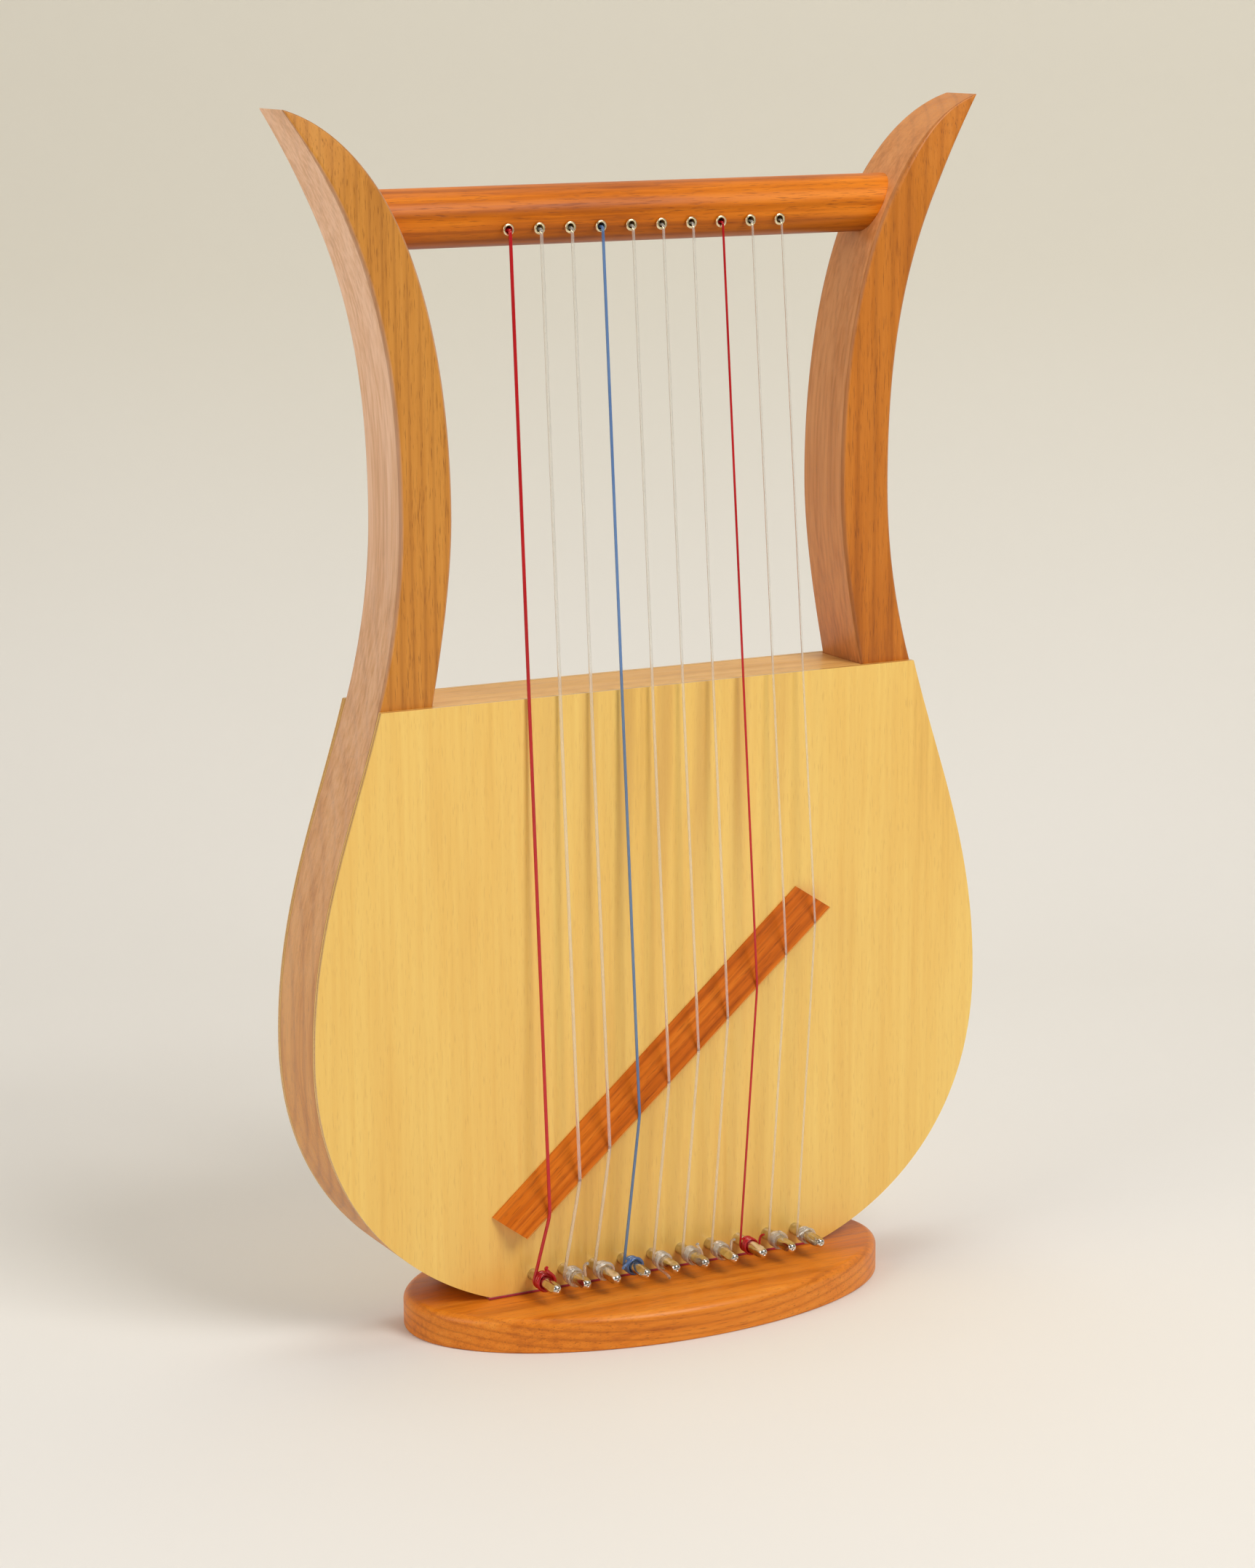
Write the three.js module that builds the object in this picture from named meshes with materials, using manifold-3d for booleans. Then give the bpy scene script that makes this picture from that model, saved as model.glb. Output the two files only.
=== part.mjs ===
// A ten-string wooden lyre on an oval foot, in millimetres.
// +Z is up, the strings face -Y, and the origin is the middle of the foot's underside.
import * as THREE from "three";
import { mergeVertices } from "three/addons/utils/BufferGeometryUtils.js";
import Module from "manifold-3d";

const wasm = await Module();
wasm.setup();

// ---------------------------------------------------------------- driving dimensions

// Clearances
const FIT = 0.3; // between curved or cut faces that touch
const SEAM = 0.1; // between flat glued faces
const PIN_CLEARANCE = 0.15; // round each turning pin
const BRACE_END_GAP = 3; // between a brace and the side walls

// Whole instrument
const HEIGHT = 520; // floor to the horn tips
const ARM_DEPTH = 35; // front to back
const BOX_SETBACK = 6; // middle of the box behind the middle of the foot

// Outer outline: half widths from the middle, and the heights where they occur
const HORN_HALF_WIDTH = 162;
const WAIST_HALF_WIDTH = 116.2;
const WAIST_Z = 356;
const BODY_HALF_WIDTH = 160.4;
const BODY_WIDEST_Z = 130;

// Inner outline, given by the thickness of the wood inside the outer one
const WAIST_THICKNESS = 23.6;
const SIDE_WALL = 24;

// How far the outlines' curves lean on their end directions
const OUTER_LEAN = { base: 4, sideLow: 90, sideHigh: 87, waistLow: 93, waistHigh: 64, horn: 65 };
const INNER_LEAN = { block: 40, sideLow: 45, sideHigh: 30, waistLow: 75, waistHigh: 88, horn: 45 };
const HORN_OUTER_ANGLE = 56; // degrees above level, where the outer curve meets the tip
const HORN_INNER_ANGLE = 16;
const BASE_ANGLE = 25; // degrees above level, where the side leaves the flat base
const ARM_ROUNDING = 2.2; // on the arms' long edges, above the soundboard

// Foot and seat
const FOOT_OVERHANG = 31; // of the foot, past the base of the box
const FOOT_HALF_DEPTH = 63;
const FOOT_THICKNESS = 15;
const FOOT_ROUNDING = 3.7;
const SEAT_THICKNESS = 0.8;

// Box
const SOUNDBOARD_TOP = 275.5;
const SOUNDBOARD_PLY = 2.8;
const BACK_PLY = 3;
const TOP_RAIL_HEIGHT = 18;
const PIN_BLOCK_HEIGHT = 30;
const BLOCK_END_MARGIN = 6.4; // wood past the last pin's axis
const BASE_SHOULDER = 7.5; // of each arm, past the block
const SOUND_HOLE_RADIUS = 30;
const SOUND_HOLE_Z = 150;
const BRACE_HEIGHT = 12;
const BRACE_DEPTH = 9;
const BRACE_FROM_HOLE = 20;

// Crossbar
const CROSSBAR_BELOW_TIPS = 45.5;
const CROSSBAR_RADIUS = 12.35;
const CROSSBAR_TENON = 9; // housed in each arm

// Eyelets
const EYELET_SPACING = 14.15;
const EYELET_DROP = 4.9; // below the crossbar's axis
const EYELET_FLANGE_RADIUS = 2.3;
const EYELET_BARREL_RADIUS = 1.75;
const EYELET_HOLE_RADIUS = 1.4;
const EYELET_FLANGE_THICKNESS = 0.8;
const EYELET_LENGTH = 5;
const STRING_BORE_RADIUS = 1.3;

// Bridge
const BRIDGE_ANGLE = 40.8; // degrees, rising to the right
const BRIDGE_CENTRE_Z = 111.4;
const BRIDGE_LENGTH = 196.5;
const BRIDGE_WIDTH = 15.4;
const BRIDGE_LOW_EDGE = 0.8;
const BRIDGE_HIGH_EDGE = 10;
const BRIDGE_CHAMFER = 1.3;
const BRIDGE_END_SLANT = 3.5;
const NOTCH_SPACING = 14.5;
const NOTCH_OFFSET = 7; // of the row of strings to the right, at the bridge

// Tuning pins
const PIN_SPACING = 14.4;
const PIN_ROW_OFFSET = 3.3;
const PIN_HEIGHT = 8.2; // above the top of the foot
const PIN_RADIUS = 2.6;
const PIN_EXPOSED = 24.2;
const PIN_BURIED = 26;
const PIN_TIP_HALF_SIDE = 1.75;
const PIN_TIP_CHAMFER = 0.7;
const PIN_STRING_HOLE_RADIUS = 0.8;

// Strings
const STRING_COUNT = 10;
const THICKEST_STRING = 1.5;
const THINNEST_STRING = 0.87;
const STRING_STAND_OFF = 8; // of the last straight run, in front of the soundboard
const LIP_BEND = 1.3;
const KNOT_RADIUS = 2.4;
const WINDING_WIDTH = 4.6;
const WINDING_GAP = 0.15; // between a pin and its winding
// Each winding's loose tail: degrees from +X seen from the front, and its reach past the winding
const TAILS = [
  [95, 3.4],
  [55, 3.6],
  [150, 1.6],
  [170, 3.2],
  [-80, 3.2],
  [80, 2.4],
  [50, 3.4],
  [48, 3.6],
  [100, 1.6],
  [165, 3.4],
];
const TAIL_LEAN = 35; // degrees forward

// Foot screws
const SCREW_RADIUS = 2.1;
const SCREW_HEAD_RADIUS = 4.2;
const SCREW_HEAD_HEIGHT = 2.6;
const SCREW_RECESS = 1;
const SCREW_IN_BLOCK = 20;

// Facets round the circle
const CROSSBAR_SIDES = 32;
const PIN_SIDES = 16;
const SMALL_SIDES = 12;
const STRING_SIDES = 8;

// ---------------------------------------------------------------- derived places

const radians = THREE.MathUtils.degToRad;
const boxBottom = FOOT_THICKNESS + SEAT_THICKNESS + 2 * SEAM;
const armFront = BOX_SETBACK - ARM_DEPTH / 2;
const armBack = BOX_SETBACK + ARM_DEPTH / 2;
const boardBack = armFront - SEAM;
const boardFront = boardBack - SOUNDBOARD_PLY;
const backPanelFront = armBack + SEAM;
const crossbarZ = HEIGHT - CROSSBAR_BELOW_TIPS;
const eyeletZ = crossbarZ - EYELET_DROP;
const pinZ = FOOT_THICKNESS + PIN_HEIGHT;
const blockHalf = PIN_ROW_OFFSET + ((STRING_COUNT - 1) / 2) * PIN_SPACING + BLOCK_END_MARGIN;
const blockTop = boxBottom + PIN_BLOCK_HEIGHT;
const baseHalf = blockHalf + BASE_SHOULDER;
const footHalfLength = baseHalf + FOOT_OVERHANG;

const inRow = (i, spacing, offset) => offset + (i - (STRING_COUNT - 1) / 2) * spacing;
const eyeletX = (i) => inRow(i, EYELET_SPACING, 0);
const notchX = (i) => inRow(i, NOTCH_SPACING, NOTCH_OFFSET);
const pinX = (i) => inRow(i, PIN_SPACING, PIN_ROW_OFFSET);
const stringRadius = (i) =>
  THREE.MathUtils.lerp(THICKEST_STRING, THINNEST_STRING, i / (STRING_COUNT - 1)) / 2;
const strings = Array.from({ length: STRING_COUNT }, (_, i) => i);

// The upper edge of each eyelet's flange rests on the round bar.
const flangeRise = EYELET_DROP - EYELET_FLANGE_RADIUS;
const barFrontAtFlange = BOX_SETBACK - Math.sqrt(CROSSBAR_RADIUS ** 2 - flangeRise ** 2);
const eyeletFront = barFrontAtFlange - FIT - EYELET_FLANGE_THICKNESS;

// Each string meets its pin at one distance from the soundboard, and the winding lies in front.
const stringY = boardFront - STRING_STAND_OFF;
const pinTip = boardFront - PIN_EXPOSED;
const windingStart = (i) => stringY - stringRadius(i) - FIT;

// The two foot screws stand midway between the outer pairs of pins.
const lastString = STRING_COUNT - 1;
const screwPlaces = {
  left: (pinX(0) + pinX(1)) / 2,
  right: (pinX(lastString - 1) + pinX(lastString)) / 2,
};
const screwTop = boxBottom + SCREW_IN_BLOCK;

// ---------------------------------------------------------------- materials

const finish = (color, roughness, metalness = 0) =>
  new THREE.MeshStandardMaterial({ color, roughness, metalness });
const armCherry = finish(0xb87440, 0.45);
const barCherry = finish(0xa9572a, 0.35);
const railCherry = finish(0xc08a52, 0.5);
const footCherry = finish(0xb9702f, 0.4);
const boardPly = finish(0xe3c478, 0.4);
const spruce = finish(0xdcc493, 0.7);
const blockMaple = finish(0xd2a870, 0.6);
const redFelt = finish(0x7a1420, 0.95);
const nickel = finish(0xc9c4ba, 0.2, 1);
const brass = finish(0xd8c48a, 0.3, 1);
const screwSteel = finish(0xa8a8a4, 0.35, 1);
const redNylon = finish(0xb3202a, 0.35);
const blueNylon = finish(0x2f55a0, 0.35);
const clearNylon = finish(0xdcd8cc, 0.25);
const stringColour = (i) => ({ 0: redNylon, 3: blueNylon, 7: redNylon })[i] ?? clearNylon;

// ---------------------------------------------------------------- geometry helpers

/** A closed geometry as a manifold solid, for joining and cutting. */
function solid(geometry) {
  const bare = geometry.clone();
  bare.deleteAttribute("normal");
  bare.deleteAttribute("uv");
  const merged = mergeVertices(bare, 1e-4);
  return new wasm.Manifold(
    new wasm.Mesh({
      numProp: 3,
      vertProperties: new Float32Array(merged.attributes.position.array),
      triVerts: new Uint32Array(merged.index.array),
    }),
  );
}

/** A manifold solid as a geometry with flat-shaded faces. */
function geometryOf(made) {
  const mesh = made.getMesh();
  const shared = new THREE.BufferGeometry();
  shared.setAttribute("position", new THREE.BufferAttribute(mesh.vertProperties, 3));
  shared.setIndex(new THREE.BufferAttribute(mesh.triVerts, 1));
  const flat = shared.toNonIndexed();
  flat.computeVertexNormals();
  return flat;
}

/** A solid joined from several geometries. */
const joined = (...geometries) => geometries.map(solid).reduce((all, next) => all.add(next));

/** A box between two corners. */
function boxBetween([x0, y0, z0], [x1, y1, z1]) {
  const box = new THREE.BoxGeometry(x1 - x0, y1 - y0, z1 - z0);
  return box.translate((x0 + x1) / 2, (y0 + y1) / 2, (z0 + z1) / 2);
}

/** An upright X-Z outline made solid from front to back, with optional rounding inside it. */
function slab(outline, front, back, rounding = 0) {
  const shape = new THREE.Shape(outline);
  const extruded = new THREE.ExtrudeGeometry(shape, {
    depth: back - front - 2 * rounding,
    bevelEnabled: rounding > 0,
    bevelThickness: rounding,
    bevelSize: rounding,
    bevelOffset: -rounding,
    bevelSegments: 2,
  });
  return extruded.rotateX(Math.PI / 2).translate(0, back - rounding, 0);
}

/** A rod along X, Y or Z between two places on that axis. */
function rod(axis, radius, from, to, sides = SMALL_SIDES) {
  const geometry = new THREE.CylinderGeometry(radius, radius, to - from, sides);
  geometry.translate(0, (from + to) / 2, 0);
  if (axis === "x") geometry.rotateZ(-Math.PI / 2);
  if (axis === "z") geometry.rotateX(Math.PI / 2);
  return geometry;
}

/** The radius of a faceted hole whose flats clear a shaft. */
const holeRadius = (shaft, clearance, sides) => (shaft + clearance) / Math.cos(Math.PI / sides);

/** A profile of [radius, height] points turned about the Y axis. */
function turned(profile, sides, start = 0) {
  const points = profile.map(([r, y]) => new THREE.Vector2(r, y));
  return new THREE.LatheGeometry(points, sides, start);
}

/** A route through chosen points, with one ring of the tube exactly on each. */
class Route extends THREE.Curve {
  constructor(points) {
    super();
    this.points = points;
  }

  getPointAt(u, target = new THREE.Vector3()) {
    const place = u * (this.points.length - 1);
    const i = Math.min(Math.floor(place), this.points.length - 2);
    return target.lerpVectors(this.points[i], this.points[i + 1], place - i);
  }

  getTangentAt(u, target = new THREE.Vector3()) {
    const last = this.points.length - 1;
    const i = Math.round(u * last);
    const run = (k) => this.points[k + 1].clone().sub(this.points[k]).normalize();
    target.copy(run(Math.max(i - 1, 0)));
    return target.add(run(Math.min(i, last - 1))).normalize();
  }
}

/** A round tube along a route. */
function tube(points, radius, sides = STRING_SIDES) {
  const corner = (_, k) => {
    const angle = (2 * Math.PI * k) / sides;
    return new THREE.Vector2(radius * Math.cos(angle), radius * Math.sin(angle));
  };
  const section = new THREE.Shape(Array.from({ length: sides }, corner));
  return new THREE.ExtrudeGeometry(section, {
    steps: points.length - 1,
    extrudePath: new Route(points),
  });
}

// ---------------------------------------------------------------- outlines of the arms

/** Points of a curve between two places that leaves and arrives along given handles. */
function sweep(start, startHandle, endHandle, end, divisions) {
  const at = ([x, z]) => new THREE.Vector2(x, z);
  const first = at(start);
  const last = at(end);
  const curve = new THREE.CubicBezierCurve(
    first,
    first.clone().add(at(startHandle)),
    last.clone().add(at(endHandle)),
    last,
  );
  return curve.getPoints(divisions);
}

const along = (degrees, length) => [
  length * Math.cos(radians(degrees)),
  length * Math.sin(radians(degrees)),
];
const base = [baseHalf, boxBottom];
const widest = [BODY_HALF_WIDTH, BODY_WIDEST_Z];
const waist = [WAIST_HALF_WIDTH, WAIST_Z];
const tip = [HORN_HALF_WIDTH, HEIGHT];
const innerWaist = [WAIST_HALF_WIDTH - WAIST_THICKNESS, WAIST_Z];
const innerWidest = [BODY_HALF_WIDTH - SIDE_WALL, BODY_WIDEST_Z];
const blockCorner = [blockHalf + SEAM, blockTop];

/** The outer outline of the right side, from the base up to the horn tip. */
const outerOutline = [
  ...sweep(base, along(BASE_ANGLE, OUTER_LEAN.base), [0, -OUTER_LEAN.sideLow], widest, 16),
  ...sweep(widest, [0, OUTER_LEAN.sideHigh], [0, -OUTER_LEAN.waistLow], waist, 16).slice(1),
  ...sweep(
    waist,
    [0, OUTER_LEAN.waistHigh],
    along(HORN_OUTER_ANGLE + 180, OUTER_LEAN.horn),
    tip,
    14,
  ).slice(1),
];

/** The inner outline of the right side, from the horn tip down to the pin block. */
const innerOutline = [
  ...sweep(
    tip,
    along(HORN_INNER_ANGLE + 180, INNER_LEAN.horn),
    [0, INNER_LEAN.waistHigh],
    innerWaist,
    16,
  ).slice(1),
  ...sweep(innerWaist, [0, -INNER_LEAN.waistLow], [0, INNER_LEAN.sideHigh], innerWidest, 12).slice(1),
  ...sweep(innerWidest, [0, -INNER_LEAN.sideLow], [INNER_LEAN.block, 0], blockCorner, 8).slice(1),
];

/** The half width of an outline at a height. */
function halfWidthAt(outline, z) {
  const k = outline.findIndex((p, i) => i > 0 && (p.y - z) * (outline[i - 1].y - z) <= 0);
  const [a, b] = [outline[k - 1], outline[k]];
  return THREE.MathUtils.mapLinear(z, a.y, b.y, a.x, b.x);
}

const mirrored = (outline) => outline.map((p) => new THREE.Vector2(-p.x, p.y)).reverse();

/** The outline that the soundboard and the back panel share, up to the top edge of the box. */
function panelOutline() {
  const top = new THREE.Vector2(halfWidthAt(outerOutline, SOUNDBOARD_TOP), SOUNDBOARD_TOP);
  const right = [...outerOutline.filter((p) => p.y < SOUNDBOARD_TOP - 1), top];
  return [...right, ...mirrored(right)];
}

// ---------------------------------------------------------------- wooden pieces

const crossbarEnd = halfWidthAt(innerOutline, crossbarZ) + CROSSBAR_TENON;

/** The crossbar's rod, or the socket that it fills when grown by a clearance. */
const crossbarRod = (grow) =>
  rod("x", CROSSBAR_RADIUS + grow, -crossbarEnd - grow, crossbarEnd + grow, CROSSBAR_SIDES).translate(
    0,
    BOX_SETBACK,
    crossbarZ,
  );

/** One arm with its side wall; side is 1 for the right arm and -1 for the left. */
function arm(side) {
  const profile = [new THREE.Vector2(blockHalf + SEAM, boxBottom), ...outerOutline, ...innerOutline];
  const outline = side > 0 ? profile : mirrored(profile);
  const everywhere = HORN_HALF_WIDTH + BODY_HALF_WIDTH;
  const lower = boxBetween([-everywhere, -ARM_DEPTH, 0], [everywhere, 2 * ARM_DEPTH, SOUNDBOARD_TOP]);
  const square = solid(slab(outline, armFront, armBack)).intersect(solid(lower));
  const rounded = solid(slab(outline, armFront, armBack, ARM_ROUNDING)).subtract(
    solid(lower.clone().translate(0, 0, -ARM_ROUNDING)),
  );
  return geometryOf(square.add(rounded).subtract(solid(crossbarRod(FIT))));
}

/** The crossbar, bored for each eyelet and string. */
function crossbar() {
  let bar = solid(crossbarRod(0));
  const back = BOX_SETBACK + 2 * CROSSBAR_RADIUS;
  for (const i of strings) {
    const bore = rod("y", STRING_BORE_RADIUS, -back, back).translate(eyeletX(i), 0, eyeletZ);
    const seat = rod(
      "y",
      holeRadius(EYELET_BARREL_RADIUS, FIT, SMALL_SIDES),
      -back,
      eyeletFront + EYELET_LENGTH + FIT,
    ).translate(eyeletX(i), 0, eyeletZ);
    bar = bar.subtract(solid(bore)).subtract(solid(seat));
  }
  return geometryOf(bar);
}

/** The rail that closes the top of the box between the arms. */
function topRail() {
  const bottom = SOUNDBOARD_TOP - TOP_RAIL_HEIGHT;
  const steps = 4;
  const edge = Array.from({ length: steps + 1 }, (_, k) => {
    const z = bottom + (k * TOP_RAIL_HEIGHT) / steps;
    return new THREE.Vector2(halfWidthAt(innerOutline, z) - FIT, z);
  });
  return slab([...edge, ...mirrored(edge)], armFront, armBack);
}

/** The hole for a tuning pin, from in front of the soundboard to its blind end. */
const pinHole = (i) =>
  solid(
    rod(
      "y",
      holeRadius(PIN_RADIUS, PIN_CLEARANCE, PIN_SIDES),
      boardFront - FIT,
      armFront + PIN_BURIED + FIT,
      PIN_SIDES,
    ).translate(pinX(i), 0, pinZ),
  );

/** The holes for both foot screws, with room for their countersunk heads. */
function cutForScrews(piece) {
  let cut = piece;
  for (const x of Object.values(screwPlaces)) {
    const shank = rod("z", SCREW_RADIUS + FIT, -FIT, screwTop + FIT).translate(x, BOX_SETBACK, 0);
    const head = rod(
      "z",
      SCREW_HEAD_RADIUS + FIT,
      -FIT,
      SCREW_RECESS + SCREW_HEAD_HEIGHT + FIT,
    ).translate(x, BOX_SETBACK, 0);
    cut = cut.subtract(solid(shank)).subtract(solid(head));
  }
  return cut;
}

/** The block under the soundboard that holds the tuning pins. */
function pinBlock() {
  const block = boxBetween([-blockHalf, armFront, boxBottom], [blockHalf, armBack, blockTop]);
  const drilled = strings.reduce((piece, i) => piece.subtract(pinHole(i)), solid(block));
  return geometryOf(cutForScrews(drilled));
}

/** The plywood soundboard, drilled for the tuning pins. */
function soundboard() {
  const board = solid(slab(panelOutline(), boardFront, boardBack));
  return geometryOf(strings.reduce((piece, i) => piece.subtract(pinHole(i)), board));
}

/** The plywood back with its round sound hole. */
function backPanel() {
  const panel = solid(slab(panelOutline(), backPanelFront, backPanelFront + BACK_PLY));
  const hole = rod("y", SOUND_HOLE_RADIUS, armFront, armBack + 2 * BACK_PLY, 40);
  return geometryOf(panel.subtract(solid(hole.translate(0, 0, SOUND_HOLE_Z))));
}

/** A level brace inside the box, at a height, from front to back. */
function brace(z, front, back) {
  const [low, high] = [z - BRACE_HEIGHT / 2, z + BRACE_HEIGHT / 2];
  const room = Math.min(halfWidthAt(innerOutline, low), halfWidthAt(innerOutline, high));
  const half = room - BRACE_END_GAP;
  return boxBetween([-half, front, low], [half, back, high]);
}

const braceOffset = SOUND_HOLE_RADIUS + BRACE_FROM_HOLE + BRACE_HEIGHT / 2;

/** A point of the bridge: along its length, down across its width, and out from the soundboard. */
function bridgePoint(length, across, out) {
  const [c, s] = along(BRIDGE_ANGLE, 1);
  const down = across - BRIDGE_WIDTH / 2;
  return new THREE.Vector3(
    length * c + down * s,
    boardFront - out,
    BRIDGE_CENTRE_Z + length * s - down * c,
  );
}

/** The bridge: a slanted wedge, low on its upper edge and high on its lower one. */
function bridge() {
  const section = [
    [0, SEAM],
    [BRIDGE_WIDTH, SEAM],
    [BRIDGE_WIDTH, BRIDGE_HIGH_EDGE - BRIDGE_CHAMFER],
    [BRIDGE_WIDTH - BRIDGE_CHAMFER, BRIDGE_HIGH_EDGE],
    [0, BRIDGE_LOW_EDGE],
  ];
  const end = (side) =>
    section.map(([across, out]) => {
      const slant = BRIDGE_END_SLANT * (across / BRIDGE_WIDTH - 0.5);
      return bridgePoint((side * BRIDGE_LENGTH) / 2 + slant, across, out);
    });
  return prism(end(-1), end(1));
}

/** A convex solid between two matching end faces. */
function prism(first, second) {
  const n = first.length;
  const index = [];
  for (let i = 0; i < n; i++) {
    const j = (i + 1) % n;
    index.push(i, n + j, j, i, n + i, n + j);
    if (i > 1) index.push(0, i - 1, i, n, n + i, n + i - 1);
  }
  const geometry = new THREE.BufferGeometry().setFromPoints([...first, ...second]);
  geometry.setIndex(index);
  return geometry;
}

/** The oval foot, rounded over round its upper edge. */
function foot() {
  const oval = new THREE.Shape().absellipse(0, 0, footHalfLength, FOOT_HALF_DEPTH, 0, 2 * Math.PI);
  const blank = new THREE.ExtrudeGeometry(oval, {
    depth: FOOT_THICKNESS,
    curveSegments: 56,
    bevelThickness: FOOT_ROUNDING,
    bevelSize: FOOT_ROUNDING,
    bevelOffset: -FOOT_ROUNDING,
    bevelSegments: 4,
  }).translate(0, 0, -FOOT_ROUNDING);
  const above = boxBetween(
    [-2 * footHalfLength, -2 * FOOT_HALF_DEPTH, 0],
    [2 * footHalfLength, 2 * FOOT_HALF_DEPTH, 2 * FOOT_THICKNESS],
  );
  return geometryOf(cutForScrews(solid(blank).intersect(solid(above))));
}

/** The thin felt strip between the box and the foot. */
function seatFelt() {
  const low = FOOT_THICKNESS + SEAM;
  const strip = boxBetween(
    [-baseHalf, boardFront, low],
    [baseHalf, backPanelFront + BACK_PLY, low + SEAT_THICKNESS],
  );
  return geometryOf(cutForScrews(solid(strip)));
}

// ---------------------------------------------------------------- metal pieces

/** A countersunk screw that comes up through the foot. */
function footScrew() {
  const profile = [
    [0, SCREW_RECESS],
    [SCREW_HEAD_RADIUS, SCREW_RECESS],
    [SCREW_HEAD_RADIUS, SCREW_RECESS + 0.5],
    [SCREW_RADIUS, SCREW_RECESS + SCREW_HEAD_HEIGHT],
    [SCREW_RADIUS, screwTop - 2 * SCREW_RADIUS],
    [0, screwTop],
  ];
  return turned(profile, SMALL_SIDES).rotateX(Math.PI / 2);
}

/** A flanged eyelet that lines a string's hole in the crossbar. */
function eyelet() {
  const lip = EYELET_FLANGE_THICKNESS / 3;
  const profile = [
    [EYELET_HOLE_RADIUS, eyeletFront + lip],
    [EYELET_HOLE_RADIUS + lip, eyeletFront],
    [EYELET_FLANGE_RADIUS - lip, eyeletFront],
    [EYELET_FLANGE_RADIUS, eyeletFront + lip],
    [EYELET_FLANGE_RADIUS, eyeletFront + EYELET_FLANGE_THICKNESS],
    [EYELET_BARREL_RADIUS, eyeletFront + EYELET_FLANGE_THICKNESS],
    [EYELET_BARREL_RADIUS, eyeletFront + EYELET_LENGTH],
    [EYELET_HOLE_RADIUS, eyeletFront + EYELET_LENGTH],
    [EYELET_HOLE_RADIUS, eyeletFront + lip],
  ];
  return turned(profile, SMALL_SIDES);
}

/** A round tuning pin whose end is ground square, cross-drilled for the string's end. */
function tuningPin(i) {
  const headStart = windingStart(i) - WINDING_WIDTH;
  const buriedEnd = armFront + PIN_BURIED;
  const round = turned(
    [
      [0, pinTip],
      [PIN_RADIUS - PIN_TIP_CHAMFER, pinTip],
      [PIN_RADIUS, pinTip + PIN_TIP_CHAMFER],
      [PIN_RADIUS, buriedEnd - PIN_TIP_CHAMFER],
      [PIN_RADIUS - PIN_TIP_CHAMFER, buriedEnd],
      [0, buriedEnd],
    ],
    PIN_SIDES,
  );
  const corner = Math.SQRT2;
  const square = turned(
    [
      [0, pinTip - FIT],
      [PIN_TIP_HALF_SIDE * corner, pinTip - FIT],
      [PIN_RADIUS * corner, headStart],
      [2 * PIN_RADIUS, buriedEnd + FIT],
      [0, buriedEnd + FIT],
    ],
    4,
    Math.PI / 4,
  );
  const hole = rod("x", PIN_STRING_HOLE_RADIUS, -2 * PIN_RADIUS, 2 * PIN_RADIUS, 8);
  hole.translate(0, windingStart(i) - WINDING_WIDTH / 2, 0);
  return geometryOf(solid(round).intersect(solid(square)).subtract(solid(hole)));
}

// ---------------------------------------------------------------- strings

/** The turns of a string round its pin, as one ring, with the loose tail. */
function winding(i) {
  const start = windingStart(i);
  const end = start - WINDING_WIDTH;
  const inner = holeRadius(PIN_RADIUS, WINDING_GAP, PIN_SIDES);
  const outer = inner + 2 * stringRadius(i);
  const rim = stringRadius(i) / 2;
  const ring = turned(
    [
      [inner, end],
      [outer - rim, end],
      [outer, end + rim],
      [outer, start - rim],
      [outer - rim, start],
      [inner, start],
      [inner, end],
    ],
    PIN_SIDES,
  );
  const [angle, reach] = TAILS[i];
  const [c, s] = along(angle, 1);
  const forward = Math.tan(radians(TAIL_LEAN));
  const at = (radius) => {
    const y = end + 2 * stringRadius(i) - forward * (radius - outer);
    return new THREE.Vector3(c * radius, y, s * radius);
  };
  const tail = tube([at(outer - stringRadius(i)), at(outer + reach)], stringRadius(i), 6);
  return geometryOf(joined(ring, tail));
}

/** The bend of each string over the bridge's high edge. */
function overBridge(i) {
  const out = BRIDGE_HIGH_EDGE + stringRadius(i) + FIT;
  const edge = bridgePoint(0, BRIDGE_WIDTH - BRIDGE_CHAMFER, out);
  const [c, s] = along(BRIDGE_ANGLE, 1);
  const run = (notchX(i) - edge.x) / c;
  return edge.add(new THREE.Vector3(run * c, 0, run * s));
}

/** Where a string that comes down from its bend just touches the left side of its pin. */
function besidePin(i, bend) {
  const reach = PIN_RADIUS + PIN_CLEARANCE + stringRadius(i);
  const [x, z] = [bend.x - pinX(i), bend.z - pinZ];
  const angle = Math.atan2(z, x) + Math.acos(reach / Math.hypot(x, z));
  return new THREE.Vector3(pinX(i) + reach * Math.cos(angle), stringY, pinZ + reach * Math.sin(angle));
}

/** A string: knotted behind the crossbar, out of its eyelet, over the bridge and down to its pin. */
function string(i) {
  const radius = stringRadius(i);
  const x = eyeletX(i);
  const fromBar = CROSSBAR_RADIUS + KNOT_RADIUS + FIT;
  const knotY = BOX_SETBACK + Math.sqrt(fromBar ** 2 - EYELET_DROP ** 2);
  const lipPoints = [0, 30, 60, 90].map((degrees) => {
    const [c, s] = along(degrees, LIP_BEND);
    return new THREE.Vector3(x, eyeletFront - s, eyeletZ - LIP_BEND + c);
  });
  const bend = overBridge(i);
  const route = [new THREE.Vector3(x, knotY, eyeletZ), ...lipPoints, bend, besidePin(i, bend)];
  const knot = new THREE.SphereGeometry(KNOT_RADIUS, 10, 6).translate(x, knotY, eyeletZ);
  return geometryOf(joined(tube(route, radius), knot));
}

// ---------------------------------------------------------------- assembly

const lyre = new THREE.Group();

/** Adds a named piece, optionally moved from where it was made. */
function add(group, name, geometry, material, x = 0, y = 0, z = 0) {
  const mesh = new THREE.Mesh(geometry, material);
  mesh.name = name;
  mesh.position.set(x, y, z);
  group.add(mesh);
}

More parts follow.
